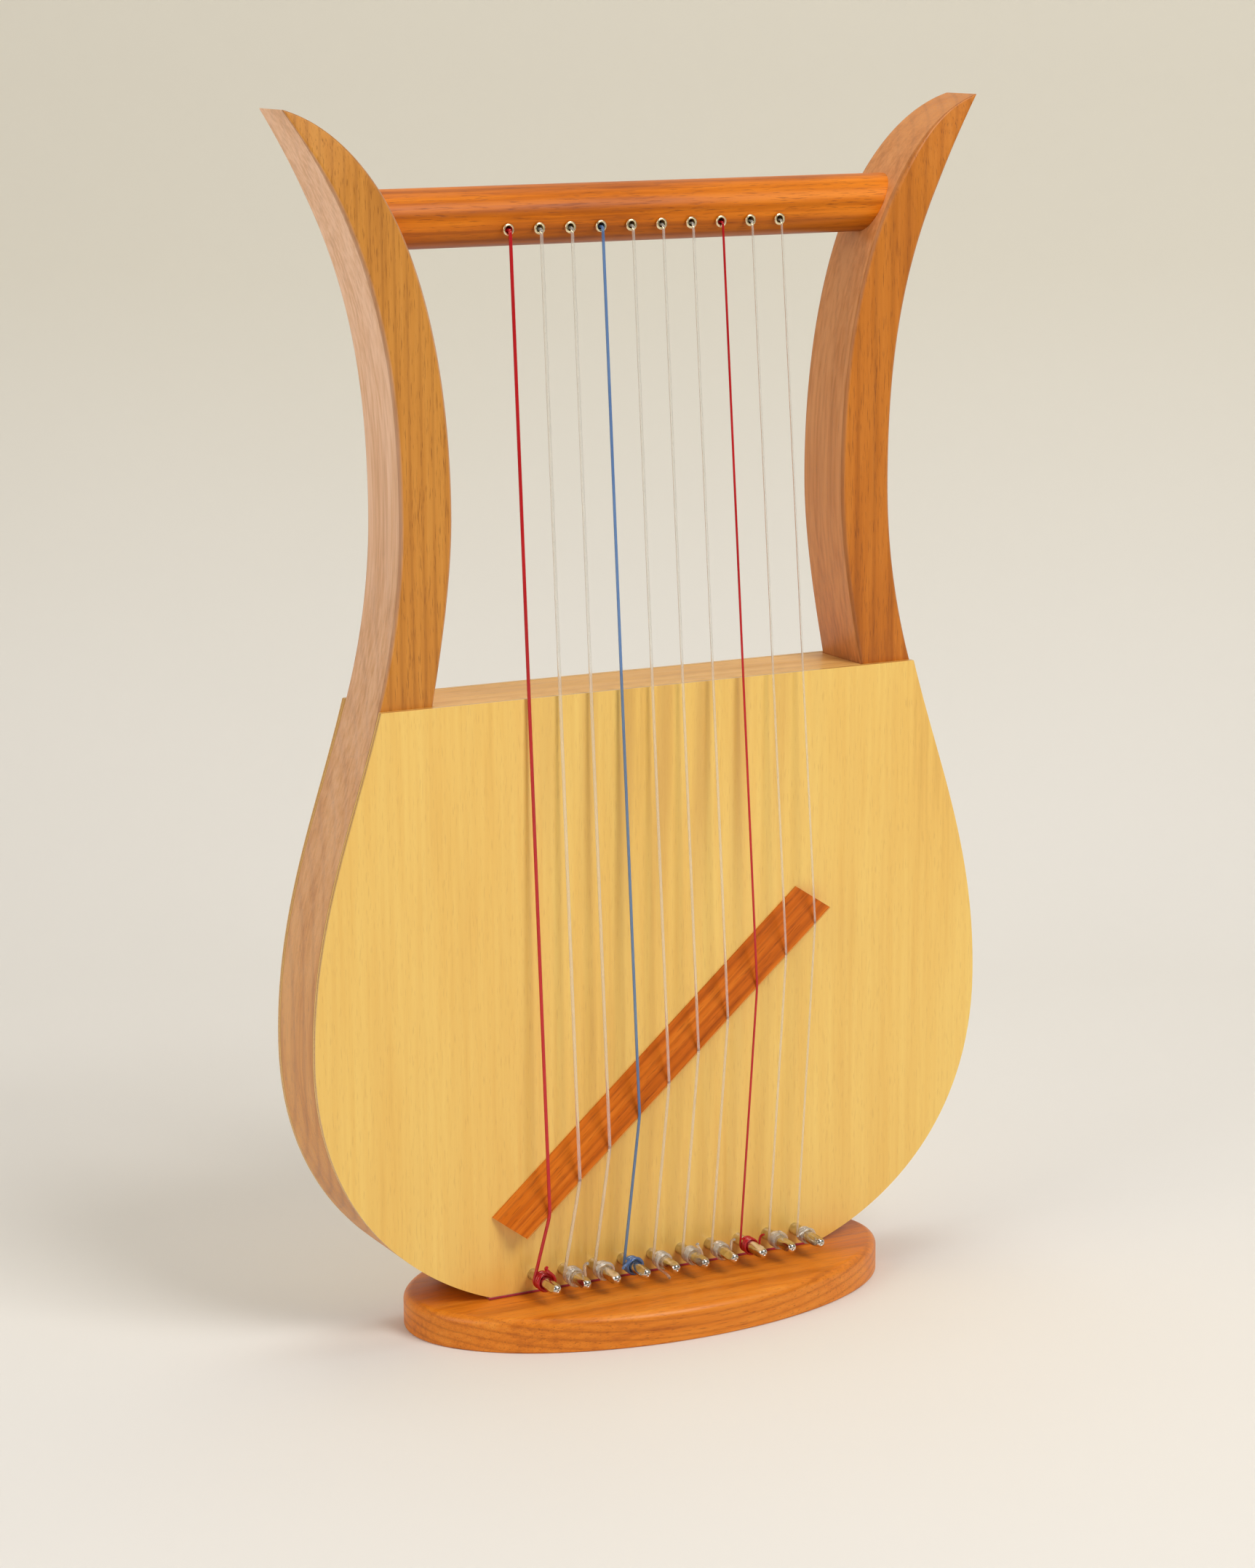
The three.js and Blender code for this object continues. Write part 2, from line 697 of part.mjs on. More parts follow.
const frameGroup = new THREE.Group();
add(frameGroup, "left_arm", arm(-1), armCherry);
add(frameGroup, "right_arm", arm(1), armCherry);
add(frameGroup, "crossbar", crossbar(), barCherry);
add(frameGroup, "top_rail", topRail(), railCherry);
add(frameGroup, "pin_block", pinBlock(), blockMaple);

const boxGroup = new THREE.Group();
add(boxGroup, "soundboard", soundboard(), boardPly);
add(boxGroup, "back_panel", backPanel(), boardPly);
add(boxGroup, "bridge", bridge(), barCherry);
add(
  boxGroup,
  "soundboard_brace",
  brace(SOUND_HOLE_Z + braceOffset, armFront, armFront + BRACE_DEPTH),
  spruce,
);
add(
  boxGroup,
  "back_brace",
  brace(SOUND_HOLE_Z - braceOffset, armBack - BRACE_DEPTH, armBack),
  spruce,
);

const footGroup = new THREE.Group();
add(footGroup, "foot", foot(), footCherry);
add(footGroup, "seat_felt", seatFelt(), redFelt);
for (const [side, x] of Object.entries(screwPlaces))
  add(footGroup, "foot_screw_" + side, footScrew(), screwSteel, x, BOX_SETBACK, 0);

const stringGroup = new THREE.Group();
for (const i of strings) {
  const number = i + 1;
  add(stringGroup, "eyelet_" + number, eyelet(), brass, eyeletX(i), 0, eyeletZ);
  add(stringGroup, "string_" + number, string(i), stringColour(i));
  add(stringGroup, "tuning_pin_" + number, tuningPin(i), nickel, pinX(i), 0, pinZ);
  add(stringGroup, "winding_" + number, winding(i), stringColour(i), pinX(i), 0, pinZ);
}

lyre.add(frameGroup, boxGroup, footGroup, stringGroup);

export default lyre;
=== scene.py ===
"""A ten-string table lyre: cherry frame, plywood box, oval foot, nylon strings.

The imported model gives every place. Each visible piece is built again with finer
edges, every surface gets a procedural finish, and the whole stands on a pale
floor under soft light.
"""

import logging
import math
from collections.abc import Iterable, Sequence
from dataclasses import dataclass, field
from enum import Enum

import bmesh
import bpy
from mathutils import Matrix, Vector
from mathutils.geometry import interpolate_bezier


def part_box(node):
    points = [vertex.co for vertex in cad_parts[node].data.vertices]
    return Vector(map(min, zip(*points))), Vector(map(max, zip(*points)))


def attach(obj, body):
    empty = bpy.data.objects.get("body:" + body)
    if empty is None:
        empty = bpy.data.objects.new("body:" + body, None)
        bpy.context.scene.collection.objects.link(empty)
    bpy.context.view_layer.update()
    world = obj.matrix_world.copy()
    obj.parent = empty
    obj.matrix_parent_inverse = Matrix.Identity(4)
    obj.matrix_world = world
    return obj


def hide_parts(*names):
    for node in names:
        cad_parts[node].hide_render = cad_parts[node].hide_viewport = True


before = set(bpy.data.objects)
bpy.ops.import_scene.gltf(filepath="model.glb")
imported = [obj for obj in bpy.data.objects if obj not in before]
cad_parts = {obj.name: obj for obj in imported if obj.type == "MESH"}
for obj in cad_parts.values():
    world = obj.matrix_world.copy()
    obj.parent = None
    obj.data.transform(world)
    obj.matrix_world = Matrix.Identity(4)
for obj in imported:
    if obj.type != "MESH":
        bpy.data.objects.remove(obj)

log = logging.getLogger("lyre")

MM = 0.001
STRING_COUNT = 10
FRAME_BODY = "lyre"
SHARP = math.radians(35)
MIX_INPUTS = (0, 6, 7)
MIX_OUTPUT = 2
X, Y, Z = range(3)
CLEAR = 5 * MM

Colour = tuple[float, float, float]
Place = tuple[float, float, float]
Shape = bmesh.types.BMesh
Material = bpy.types.Material
Socket = bpy.types.NodeSocket
Feed = Socket | float | tuple[float, ...]


class Side(Enum):
    """The two sides of the frame, seen from the front."""

    LEFT = -1
    RIGHT = 1


class Grain(Enum):
    """The way the wood's fibres run."""

    UPRIGHT = "upright"
    LEVEL = "level"
    SLANTED = "slanted"


class Cut(Enum):
    """What a cutting tool leaves of a piece."""

    AWAY = "DIFFERENCE"
    INSIDE = "INTERSECT"


# ---- surfaces


class Surface:
    """A material in the making: one node tree round one Principled shader."""

    def __init__(self, name: str) -> None:
        """Starts an empty surface.

        Args:
            name: The material's name.
        """
        self.material = bpy.data.materials.new(name)
        self.material.use_nodes = True
        self.tree = self.material.node_tree
        self.shader = self.tree.nodes["Principled BSDF"]
        self.coords = self.tree.nodes.new("ShaderNodeTexCoord")

    def fix(self, **values: float | tuple[float, ...]) -> None:
        """Sets the shader's own sockets, named with _ for a space.

        Args:
            **values: The value for each socket.
        """
        for name, value in values.items():
            self.shader.inputs[name.replace("_", " ")].default_value = value

    def feed(self, name: str, source: Socket) -> None:
        """Links a socket of the shader to a source."""
        self.tree.links.new(source, self.shader.inputs[name])

    def node(self, kind: str, inputs: dict[str | int, Feed], **settings: str) -> bpy.types.Node:
        """Adds a node.

        Args:
            kind: Its type, without the leading "ShaderNode".
            inputs: The value or the source of each of its inputs.
            **settings: Its own settings.

        Returns:
            The new node.
        """
        node = self.tree.nodes.new(f"ShaderNode{kind}")
        for name, setting in settings.items():
            setattr(node, name, setting)
        for name, value in inputs.items():
            if isinstance(value, Socket):
                self.tree.links.new(value, node.inputs[name])
            else:
                node.inputs[name].default_value = value
        return node

    def place(
        self, centre: Place = (0, 0, 0), tilt: float = 0, stretch: Place = (1, 1, 1)
    ) -> Socket:
        """Object coordinates, centred, tilted about Y and stretched.

        Args:
            centre: The pattern's centre, in metres.
            tilt: Its turn about Y, in radians.
            stretch: How much longer it is along each axis.

        Returns:
            The coordinates' socket.
        """
        inputs = {
            "Vector": self.coords.outputs["Object"], "Location": centre, "Rotation": (0, tilt, 0),
            "Scale": stretch
        }
        return self.node("Mapping", inputs, vector_type="TEXTURE").outputs["Vector"]

    def noise(self, coords: Socket, scale: float, detail: float = 3, warp: float = 0) -> Socket:
        """A noise pattern.

        Args:
            coords: Where it is read.
            scale: Its cells per metre.
            detail: Its octaves.
            warp: How much it is distorted.

        Returns:
            The pattern's factor.
        """
        inputs = {"Vector": coords, "Scale": scale, "Detail": detail, "Distortion": warp}
        return self.node("TexNoise", inputs).outputs["Fac"]

    def waves(
        self, coords: Socket, gap: float, warp: float, rings: str = "", detail: float = 3
    ) -> Socket:
        """Bands across X, or rings about an axis.

        Args:
            coords: Where they are read.
            gap: The distance from one to the next, in metres.
            warp: How much they wander.
            rings: The axis of the rings, or nothing for bands.
            detail: The octaves of their wandering.

        Returns:
            The pattern's factor.
        """
        inputs = {
            "Vector": coords, "Scale": 2 * math.pi / (20 * gap), "Distortion": warp,
            "Detail": detail, "Detail Scale": 0.35
        }
        settings = {"wave_type": "RINGS", "rings_direction": rings} if rings else {}
        return self.node("TexWave", inputs, **settings).outputs["Fac"]

    def remap(self, source: Socket, low: float, high: float, to: tuple[float, float]) -> Socket:
        """Spreads a factor from one range to another, and holds it at the ends.

        Args:
            source: The factor.
            low: The start of its range.
            high: The end of its range.
            to: The new range.

        Returns:
            The new factor.
        """
        names = ("Value", "From Min", "From Max", "To Min", "To Max")
        inputs = dict(zip(names, (source, low, high, *to)))
        return self.node("MapRange", inputs).outputs["Result"]

    def combine(self, operation: str, first: Socket, second: Socket | float = 0.0) -> Socket:
        """Joins two factors.

        Args:
            operation: What is done with them, as a Math node calls it.
            first: The first factor.
            second: The second one, from a socket or as a number.

        Returns:
            The outcome.
        """
        return self.node("Math", {0: first, 1: second}, operation=operation).outputs[0]

    def weigh(self, *parts: tuple[Socket, float]) -> Socket:
        """The sum of factors, each times its share.

        Args:
            *parts: Pairs of a factor and its share.

        Returns:
            The sum's socket.
        """
        total = None
        for source, share in parts:
            scaled = self.combine("MULTIPLY", source, share)
            total = scaled if total is None else self.combine("ADD", total, scaled)
        return total

    def ramp(self, factor: Socket, stops: Sequence[tuple[float, Colour]]) -> Socket:
        """A colour that follows a factor.

        Args:
            factor: What it follows.
            stops: Pairs of a place from 0 to 1 and the colour there.

        Returns:
            The colour's socket.
        """
        node = self.node("ValToRGB", {"Fac": factor})
        elements = node.color_ramp.elements
        while len(elements) < len(stops):
            elements.new(0.5)
        for element, (position, colour) in zip(elements, stops):
            element.position = position
            element.color = (*colour, 1)
        return node.outputs["Color"]

    def over(self, factor: Socket, below: Socket, above: Socket | Colour) -> Socket:
        """One colour laid over another.

        Args:
            factor: How much of the upper colour shows.
            below: The lower colour.
            above: The upper colour, from a socket or as numbers.

        Returns:
            The mixed colour's socket.
        """
        top = (*above, 1) if isinstance(above, tuple) else above
        inputs = dict(zip(MIX_INPUTS, (factor, below, top)))
        return self.node("Mix", inputs, data_type="RGBA").outputs[MIX_OUTPUT]

    def part_of(self, coords: Socket, axis: str) -> Socket:
        """One axis of some coordinates."""
        return self.node("SeparateXYZ", {0: coords}).outputs[axis]

    def facing(self, axis: str) -> Socket:
        """How much the surface faces along an axis, from 0 to 1 either way."""
        return self.combine("ABSOLUTE", self.part_of(self.coords.outputs["Normal"], axis))

    def towards(self, way: Place) -> Socket:
        """How much the surface faces one way, from -1 to 1."""
        inputs = {0: self.coords.outputs["Normal"], 1: way}
        return self.node("VectorMath", inputs, operation="DOT_PRODUCT").outputs["Value"]

    def arris(self, share: float) -> Socket:
        """The rounded edges round the front and back faces, where painted shade is laid.

        Args:
            share: Their strength.

        Returns:
            The strength where an edge turns, and 0 on the flats.
        """
        flat = self.facing("Y")
        turning = self.combine("MULTIPLY", flat, self.remap(flat, 0, 1, (1, 0)))
        return self.remap(turning, 0.08, 0.22, (0, share))

    def raise_by(self, height: Socket, strength: float, depth: float) -> None:
        """Bumps the surface.

        Args:
            height: The pattern that raises it.
            strength: How strongly it shows.
            depth: The height of a full step, in metres.
        """
        inputs = {"Strength": strength, "Distance": depth, "Height": height}
        self.feed("Normal", self.node("Bump", inputs).outputs["Normal"])


@dataclass(frozen=True)
class Wood:
    """Solid wood under a satin finish, with growth rings, fibres, pores and optional painted
    sheen, shade and highlight.
    """

    name: str
    dark: Colour
    middle: Colour
    light: Colour
    pore: Colour
    grain: Grain = Grain.UPRIGHT
    pith: Place = (0.05, 0.09, 0.0)
    ring_gap: float = 0.006
    ring_share: float = 0.07
    line_share: float = 0.42
    slant: float = 0.0
    roughness: tuple[float, float] = (0.34, 0.5)
    coat: float = 0.1
    gloss: float = 0.4
    honey: Colour | None = None
    chamfer_highlight: Colour | None = None
    shadow_tint: Colour | None = None
    painted_side_sheen: Colour | None = None
    side_sheen_share: float = 1.0

    def material(self) -> Material:
        """Makes the wood's material.

        Returns:
            The new material.
        """
        s = Surface(self.name)
        upright = self.grain is Grain.UPRIGHT

        def stretched(by: float) -> Socket:
            """Coordinates drawn out along the fibres."""
            scale = (1, 1, by) if upright else (by, 1, 1)
            return s.place(self.pith, -self.slant, scale)

        axis = "Z" if upright else "X"
        rings = s.waves(stretched(11), self.ring_gap, 2.6, axis)
        fibres = s.noise(stretched(30), 620, 4)
        streaks = s.noise(stretched(15), 90, 4, 0.3)
        blotches = s.noise(stretched(2.5), 15, 2)
        pores = s.remap(s.noise(stretched(16), 2300, 2), 0.57, 0.72, (0, 1))
        lines = s.remap(rings, 0.8, 1, (0, 1))
        tone = s.weigh((fibres, 0.4), (streaks, 0.5), (blotches, 0.45), (rings, -self.ring_share))
        body = s.ramp(tone, [(0.44, self.dark), (0.62, self.middle), (0.82, self.light)])
        if self.honey:
            up = s.remap(s.part_of(s.coords.outputs["Object"], "Z"), 0.24, 0.42, (0, 0.55))
            patch = s.combine("MULTIPLY", up, s.remap(streaks, 0.3, 0.6, (0.6, 1)))
            body = s.over(patch, body, self.honey)
        marks = s.weigh((pores, 0.5), (s.combine("MULTIPLY", lines, fibres), self.line_share))
        marked = s.over(marks, body, self.pore)
        # Painted sheen: the side faces are paled, more so higher up, in place of the bright
        # surroundings reflected at a grazing angle and the light from the side.
        if self.painted_side_sheen:
            height = s.part_of(s.coords.outputs["Object"], "Z")
            pale = s.combine(
                "MULTIPLY", s.remap(s.facing("X"), 0.35, 0.95, (0, 1)),
                s.remap(height, 0.1, 0.38, (0.12, self.side_sheen_share))
            )
            fine = s.remap(s.weigh((fibres, 0.6), (streaks, 0.4)), 0.38, 0.6, (0.5, 1))
            marked = s.over(s.combine("MULTIPLY", pale, fine), marked, self.painted_side_sheen)
            # Painted shade: a dark line in the pore colour along the rounded edges between the
            # front and the sides.
            marked = s.over(s.arris(0.42), marked, self.pore)
        if self.shadow_tint:
            below = s.remap(s.towards((0, 0, -1)), 0.25, 0.95, (0, 0.62))
            marked = s.over(below, marked, self.shadow_tint)
        # Painted highlight: the chamfer that faces forward and down across the bridge is
        # lightened.
        if self.chamfer_highlight:
            run = direction(math.degrees(self.slant))
            front = s.combine("MULTIPLY", s.towards((0, -1, 0)), s.towards((run.z, 0, -run.x)))
            marked = s.over(s.remap(front, 0.2, 0.42, (0, 0.85)), marked, self.chamfer_highlight)
        s.feed("Base Color", marked)
        s.feed("Roughness", s.remap(fibres, 0.3, 0.7, self.roughness))
        s.fix(Coat_Weight=self.coat, Coat_Roughness=0.25, IOR=1.4, Specular_IOR_Level=self.gloss)
        s.raise_by(s.weigh((fibres, 0.5), (pores, -0.6), (lines, -0.1)), 0.28, 0.00018)
        return s.material


@dataclass(frozen=True)
class Plywood:
    """Lacquered plywood: a pale face veneer over a browner core."""

    name: str
    front: float
    thickness: float
    dark: Colour = (0.7, 0.37, 0.063)
    middle: Colour = (0.89, 0.545, 0.12)
    light: Colour = (0.96, 0.66, 0.175)
    core: Colour = (0.5, 0.2, 0.04)
    figure: Colour = (0.64, 0.33, 0.07)
    figure_centre: Place = (0.008, 0.0, 0.27)
    figure_size: Place = (0.075, 1, 0.12)

    def material(self) -> Material:
        """Makes the plywood's material.

        Returns:
            The new material.
        """
        s = Surface(self.name)
        fibres = s.noise(s.place(stretch=(1, 1, 30)), 520, 5)
        streaks = s.noise(s.place(stretch=(1, 1, 12)), 42, 3, 0.5)
        clouds = s.noise(s.place(stretch=(1, 1, 3)), 9, 2)
        tone = s.weigh((fibres, 0.42), (streaks, 0.5), (clouds, 0.5))
        face = s.ramp(tone, [(0.36, self.dark), (0.6, self.middle), (0.9, self.light)])

        wavy = s.waves(s.place((0.004, 0, 0), 0.03, (1, 1, 8)), 0.019, 6.5, detail=2)
        spot = self.figure_patch(s)
        figured = s.combine("MULTIPLY", s.remap(wavy, 0.42, 0.95, (0, 0.5)), spot)
        face = s.over(figured, face, self.figure)

        pores = s.remap(s.noise(s.place(stretch=(1, 1, 13)), 2100, 1), 0.6, 0.72, (0, 1))
        face = s.over(s.combine("MULTIPLY", pores, 0.26), face, self.figure)
        # Painted shade: the face's rounded edges are darkened towards the core's colour, as a line
        # along each edge.
        face = s.over(s.arris(0.75), face, self.core)

        depth = s.part_of(s.coords.outputs["Object"], "Y")
        layer = s.remap(
            s.combine("ABSOLUTE", s.combine("SUBTRACT", depth, self.front + self.thickness / 2)),
            0.24 * self.thickness, 0.28 * self.thickness, (1, 0)
        )
        crumbs = s.remap(s.noise(s.place((0, self.front, 0)), 1300, 3), 0.3, 0.75, (0.55, 1))
        edged = s.over(s.combine("MULTIPLY", layer, crumbs), face, self.core)
        s.feed("Base Color", edged)
        s.feed("Roughness", s.remap(fibres, 0.3, 0.7, (0.3, 0.42)))
        s.fix(Coat_Weight=0.35, Coat_Roughness=0.16, IOR=1.48)
        s.raise_by(s.weigh((fibres, 0.5), (pores, -0.5)), 0.22, 0.00012)
        return s.material

    def figure_patch(self, s: Surface) -> Socket:
        """A soft patch where the veneer's figure shows.

        Args:
            s: The surface that it is made on.

        Returns:
            The patch's strength, from 0 to 1.
        """
        patch = s.place(self.figure_centre, 0, self.figure_size)
        fading = s.node("TexGradient", {"Vector": patch}, gradient_type="SPHERICAL")
        return s.remap(fading.outputs["Fac"], 0.0, 0.6, (0.06, 1))


@dataclass(frozen=True)
class Metal:
    """Turned metal with fine marks round its axis."""

    name: str
    colour: Colour
    worn: Colour
    roughness: tuple[float, float] = (0.1, 0.22)

    def material(self) -> Material:
        """Makes the metal's material.

        Returns:
            The new material.
        """
        s = Surface(self.name)
        rings = s.noise(s.place(stretch=(6, 1, 6)), 1800, 3)
        spots = s.noise(s.place(), 420, 4)
        tone = s.ramp(spots, [(0.3, self.worn), (0.62, self.colour)])
        s.feed("Base Color", tone)
        wear = s.weigh((rings, 0.5), (spots, 0.5))
        s.feed("Roughness", s.remap(wear, 0.35, 0.65, self.roughness))
        s.fix(Metallic=1.0)
        s.raise_by(rings, 0.12, 0.00003)
        return s.material


@dataclass(frozen=True)
class Felt:
    """A thin strip of pressed felt."""

    name: str
    colour: Colour = (0.5, 0.008, 0.028)
    deep: Colour = (0.28, 0.003, 0.012)

    def material(self) -> Material:
        """Makes the felt's material.

        Returns:
            The new material.
        """
        s = Surface(self.name)
        fuzz = s.noise(s.place(), 2600, 5, 1.5)
        tufts = s.noise(s.place(), 500, 3)
        tone = s.weigh((fuzz, 0.6), (tufts, 0.4))
        s.feed("Base Color", s.ramp(tone, [(0.35, self.deep), (0.65, self.colour)]))
        s.feed("Roughness", s.remap(fuzz, 0.3, 0.7, (0.85, 1)))
        s.fix(Sheen_Weight=0.5, Sheen_Roughness=0.5)
        s.raise_by(fuzz, 0.6, 0.0002)
        return s.material


@dataclass(frozen=True)
class Nylon:
    """A drawn nylon string, dyed or clear."""

    name: str
    colour: Colour
    shade: Colour
    clearness: float

    def material(self) -> Material:
        """Makes the nylon's material.

        Returns:
            The new material.
        """
        s = Surface(self.name)
        drawn = s.noise(s.place(stretch=(1, 1, 9)), 160, 2)
        s.feed("Base Color", s.ramp(drawn, [(0.35, self.shade), (0.6, self.colour)]))
        s.feed("Roughness", s.remap(drawn, 0.3, 0.7, (0.08, 0.15)))
        s.fix(Transmission_Weight=self.clearness, IOR=1.53)
        s.raise_by(drawn, 0.03, 0.00001)
        return s.material


@dataclass(frozen=True)
class Paper:
    """The plain matt sheet of the floor and the wall."""

    name: str
    floor: Colour
    wall: Colour

    def material(self) -> Material:
        """Makes the sheet's material.

        Returns:
            The new material.
        """
        s = Surface(self.name)
        weave = s.noise(s.place(), 700, 3)
        height = s.part_of(s.coords.outputs["Object"], "Z")
        blotches = s.noise(s.place(), 2.2, 2)
        rise = s.weigh((height, 1.2), (blotches, 0.12))
        s.feed("Base Color", s.ramp(rise, [(0.03, self.floor), (0.5, self.wall)]))
        s.feed("Roughness", s.remap(weave, 0.3, 0.7, (0.85, 0.98)))
        s.fix(Specular_IOR_Level=0.2)
        s.raise_by(weave, 0.05, 0.0002)
        return s.material


class Finishes:
    """Every finish of the lyre, made once and handed to the pieces."""

    def __init__(self) -> None:
        """Makes every material."""
        pore: Colour = (0.17, 0.042, 0.006)
        # The arms' side colours are painted sheen on their side faces.
        self.arms = {
            Side.LEFT: Wood(
                "cherry_left_arm", dark=(0.44, 0.15, 0.016), middle=(0.62, 0.235, 0.03),
                light=(0.74, 0.33, 0.055), pore=pore, pith=(-0.26, 0.05, 0.1), ring_gap=0.0048,
                honey=(0.63, 0.285, 0.05), line_share=0.32, painted_side_sheen=(0.95, 0.6, 0.4)
            ).material(),
            Side.RIGHT: Wood(
                "cherry_right_arm", dark=(0.37, 0.092, 0.006), middle=(0.55, 0.158, 0.012),
                light=(0.7, 0.24, 0.028), pore=pore, pith=(0.02, 0.07, -0.2), ring_gap=0.0062,
                honey=(0.6, 0.205, 0.022), line_share=0.3, painted_side_sheen=(0.86, 0.4, 0.16),
                side_sheen_share=0.85
            ).material(),
        }
        self.bar = Wood(
            "cherry_crossbar", dark=(0.27, 0.052, 0.003), middle=(0.6, 0.15, 0.004),
            light=(0.82, 0.24, 0.01), pore=(0.14, 0.025, 0.002), shadow_tint=(0.16, 0.036, 0.004),
            grain=Grain.LEVEL, pith=(0.02, 0.05, 0.44), ring_gap=0.0046, roughness=(0.34, 0.46),
            coat=0.06, gloss=0.25
        ).material()
        # The bridge's pale chamfer colour is a painted highlight.
        self.bridge = Wood(
            "cherry_bridge", dark=(0.36, 0.07, 0.002), middle=(0.6, 0.128, 0.003),
            light=(0.78, 0.215, 0.012), pore=(0.2, 0.032, 0.002), grain=Grain.SLANTED,
            pith=(-0.12, 0.02, 0.26), ring_gap=0.0036, slant=math.radians(BridgeSizes.angle),
            gloss=0.25, chamfer_highlight=(0.86, 0.42, 0.1)
        ).material()
        self.rail = Wood(
            "cherry_rail", dark=(0.62, 0.29, 0.06), middle=(0.76, 0.41, 0.11),
            light=(0.86, 0.53, 0.19), pore=(0.42, 0.17, 0.03), line_share=0.16, ring_share=0.03,
            grain=Grain.LEVEL, pith=(0.0, 0.06, 0.2)
        ).material()
        self.foot = Wood(
            "cherry_foot", dark=(0.52, 0.125, 0.005), middle=(0.76, 0.22, 0.012),
            light=(0.86, 0.3, 0.03), pore=(0.26, 0.055, 0.004), grain=Grain.LEVEL,
            pith=(0.02, 0.02, -0.26), ring_gap=0.0038, line_share=0.42, coat=0.15
        ).material()
        self.maple = Wood(
            "maple_block", dark=(0.5, 0.32, 0.16), middle=(0.64, 0.44, 0.24),
            light=(0.74, 0.55, 0.34), pore=(0.35, 0.2, 0.09), grain=Grain.LEVEL, coat=0.0,
            roughness=(0.5, 0.65)
        ).material()
        self.spruce = Wood(
            "spruce_braces", dark=(0.52, 0.33, 0.15), middle=(0.72, 0.53, 0.28),
            light=(0.8, 0.64, 0.4), pore=(0.45, 0.27, 0.11), grain=Grain.LEVEL, ring_gap=0.0018,
            ring_share=0.3, coat=0.0, roughness=(0.55, 0.7)
        ).material()
        board, back = (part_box(node) for node in ("soundboard", "back_panel"))
        self.board = Plywood("plywood_soundboard", board[0].y, board[1].y - board[0].y).material()
        self.back = Plywood(
            "plywood_back", back[0].y, back[1].y - back[0].y, figure_centre=(0.03, 0, 0.2)
        ).material()
        self.felt = Felt("red_felt").material()
        self.nickel = Metal("nickel", (0.74, 0.7, 0.64), (0.52, 0.47, 0.41)).material()
        self.brass = Metal(
            "plated_brass", (0.97, 0.86, 0.58), (0.72, 0.58, 0.34), (0.22, 0.36)
        ).material()
        self.steel = Metal(
            "screw_steel", (0.62, 0.61, 0.59), (0.4, 0.39, 0.38), (0.28, 0.45)
        ).material()
        red = Nylon("red_nylon", (0.7, 0.012, 0.02), (0.6, 0.008, 0.014), 0.35).material()
        blue = Nylon("blue_nylon", (0.2, 0.37, 0.72), (0.16, 0.31, 0.66), 0.6).material()
        clear = Nylon("clear_nylon", (0.99, 0.975, 0.93), (0.98, 0.96, 0.9), 0.78).material()
        self.strings = {0: ("red_nylon", red), 3: ("blue_nylon", blue), 7: ("red_nylon", red)}
        self.plain_string = ("clear_nylon", clear)

    def string(self, i: int) -> tuple[str, Material]:
        """The slot and the material of a string, by its number from 0."""
        return self.strings.get(i, self.plain_string)


# ---- mesh tools


def loose_object(name: str, bm: Shape) -> bpy.types.Object:
    """Puts a mesh in the scene as a plain object, and frees its bmesh.

    Args:
        name: The object's name.
        bm: Its shape.

    Returns:
        The new object.
    """
    mesh = bpy.data.meshes.new(name)
    bm.to_mesh(mesh)
    bm.free()
    made = bpy.data.objects.new(name, mesh)
    bpy.context.scene.collection.objects.link(made)
    return made


def taken_back(*objects: bpy.types.Object) -> Shape:
    """Reads the first object with its modifiers applied, and removes them all.

    Args:
        *objects: The object that is read, and any helpers.

    Returns:
        The finished shape.
    """
    graph = bpy.context.evaluated_depsgraph_get()
    mesh = bpy.data.meshes.new_from_object(objects[0].evaluated_get(graph), depsgraph=graph)
    bm = bmesh.new()
    bm.from_mesh(mesh)
    bpy.data.meshes.remove(mesh)
    for o in objects:
        bpy.data.objects.remove(o)
    return bm


def carved(bm: Shape, tool: Shape, cut: Cut) -> Shape:
    """Cuts one closed shape with another.

    Args:
        bm: The shape that is cut.
        tool: The cutting shape.
        cut: What is left.

    Returns:
        What is left of the first shape.
    """
    body, cutter = loose_object("body", bm), loose_object("cutter", tool)
    change = body.modifiers.new("cut", "BOOLEAN")
    change.operation = cut.value
    change.solver = "EXACT"
    change.object = cutter
    return taken_back(body, cutter)


def settled(bm: Shape) -> Shape:
    """Merges points that coincide and turns every face outwards.

    Args:
        bm: The shape, which is changed.

    Returns:
        The same shape.
    """
    bmesh.ops.remove_doubles(bm, verts=bm.verts, dist=1e-7)
    bmesh.ops.recalc_face_normals(bm, faces=bm.faces)
    return bm


def pushed(bm: Shape, faces: Iterable[bmesh.types.BMFace], by: Vector) -> None:
    """Extrudes faces.

    Args:
        bm: The shape that they are in.
        faces: The faces.
        by: How far they go, and which way.
    """
    made = bmesh.ops.extrude_face_region(bm, geom=list(faces))["geom"]
    verts = [g for g in made if isinstance(g, bmesh.types.BMVert)]
    bmesh.ops.translate(bm, verts=verts, vec=by)


def prism(outline: Iterable[Vector], by: Vector) -> Shape:
    """A closed outline made solid.

    Args:
        outline: Its corners, in order.
        by: The way from one end to the other.

    Returns:
        The solid.
    """
    bm = bmesh.new()
    face = bm.faces.new([bm.verts.new(p) for p in outline])
    pushed(bm, [face], by)
    return settled(bm)


def lathed(profile: Iterable[tuple[float, float]], centre: Vector, steps: int) -> Shape:
    """A profile turned about an axis along Y.

    Args:
        profile: Pairs of a radius and a place along Y, in metres.
        centre: A point on the axis, whose Y is added to the places.
        steps: The faces round it.

    Returns:
        The solid.
    """
    bm = bmesh.new()
    verts = [bm.verts.new(centre + Vector((r, y, 0))) for r, y in profile]
    pairs = list(zip(verts, verts[1:]))
    edges = [bm.edges.new(pair) for pair in pairs]
    bmesh.ops.spin(
        bm, geom=verts + edges, cent=centre, axis=(0, 1, 0), angle=2 * math.pi, steps=steps,
        use_merge=True
    )
    return settled(bm)


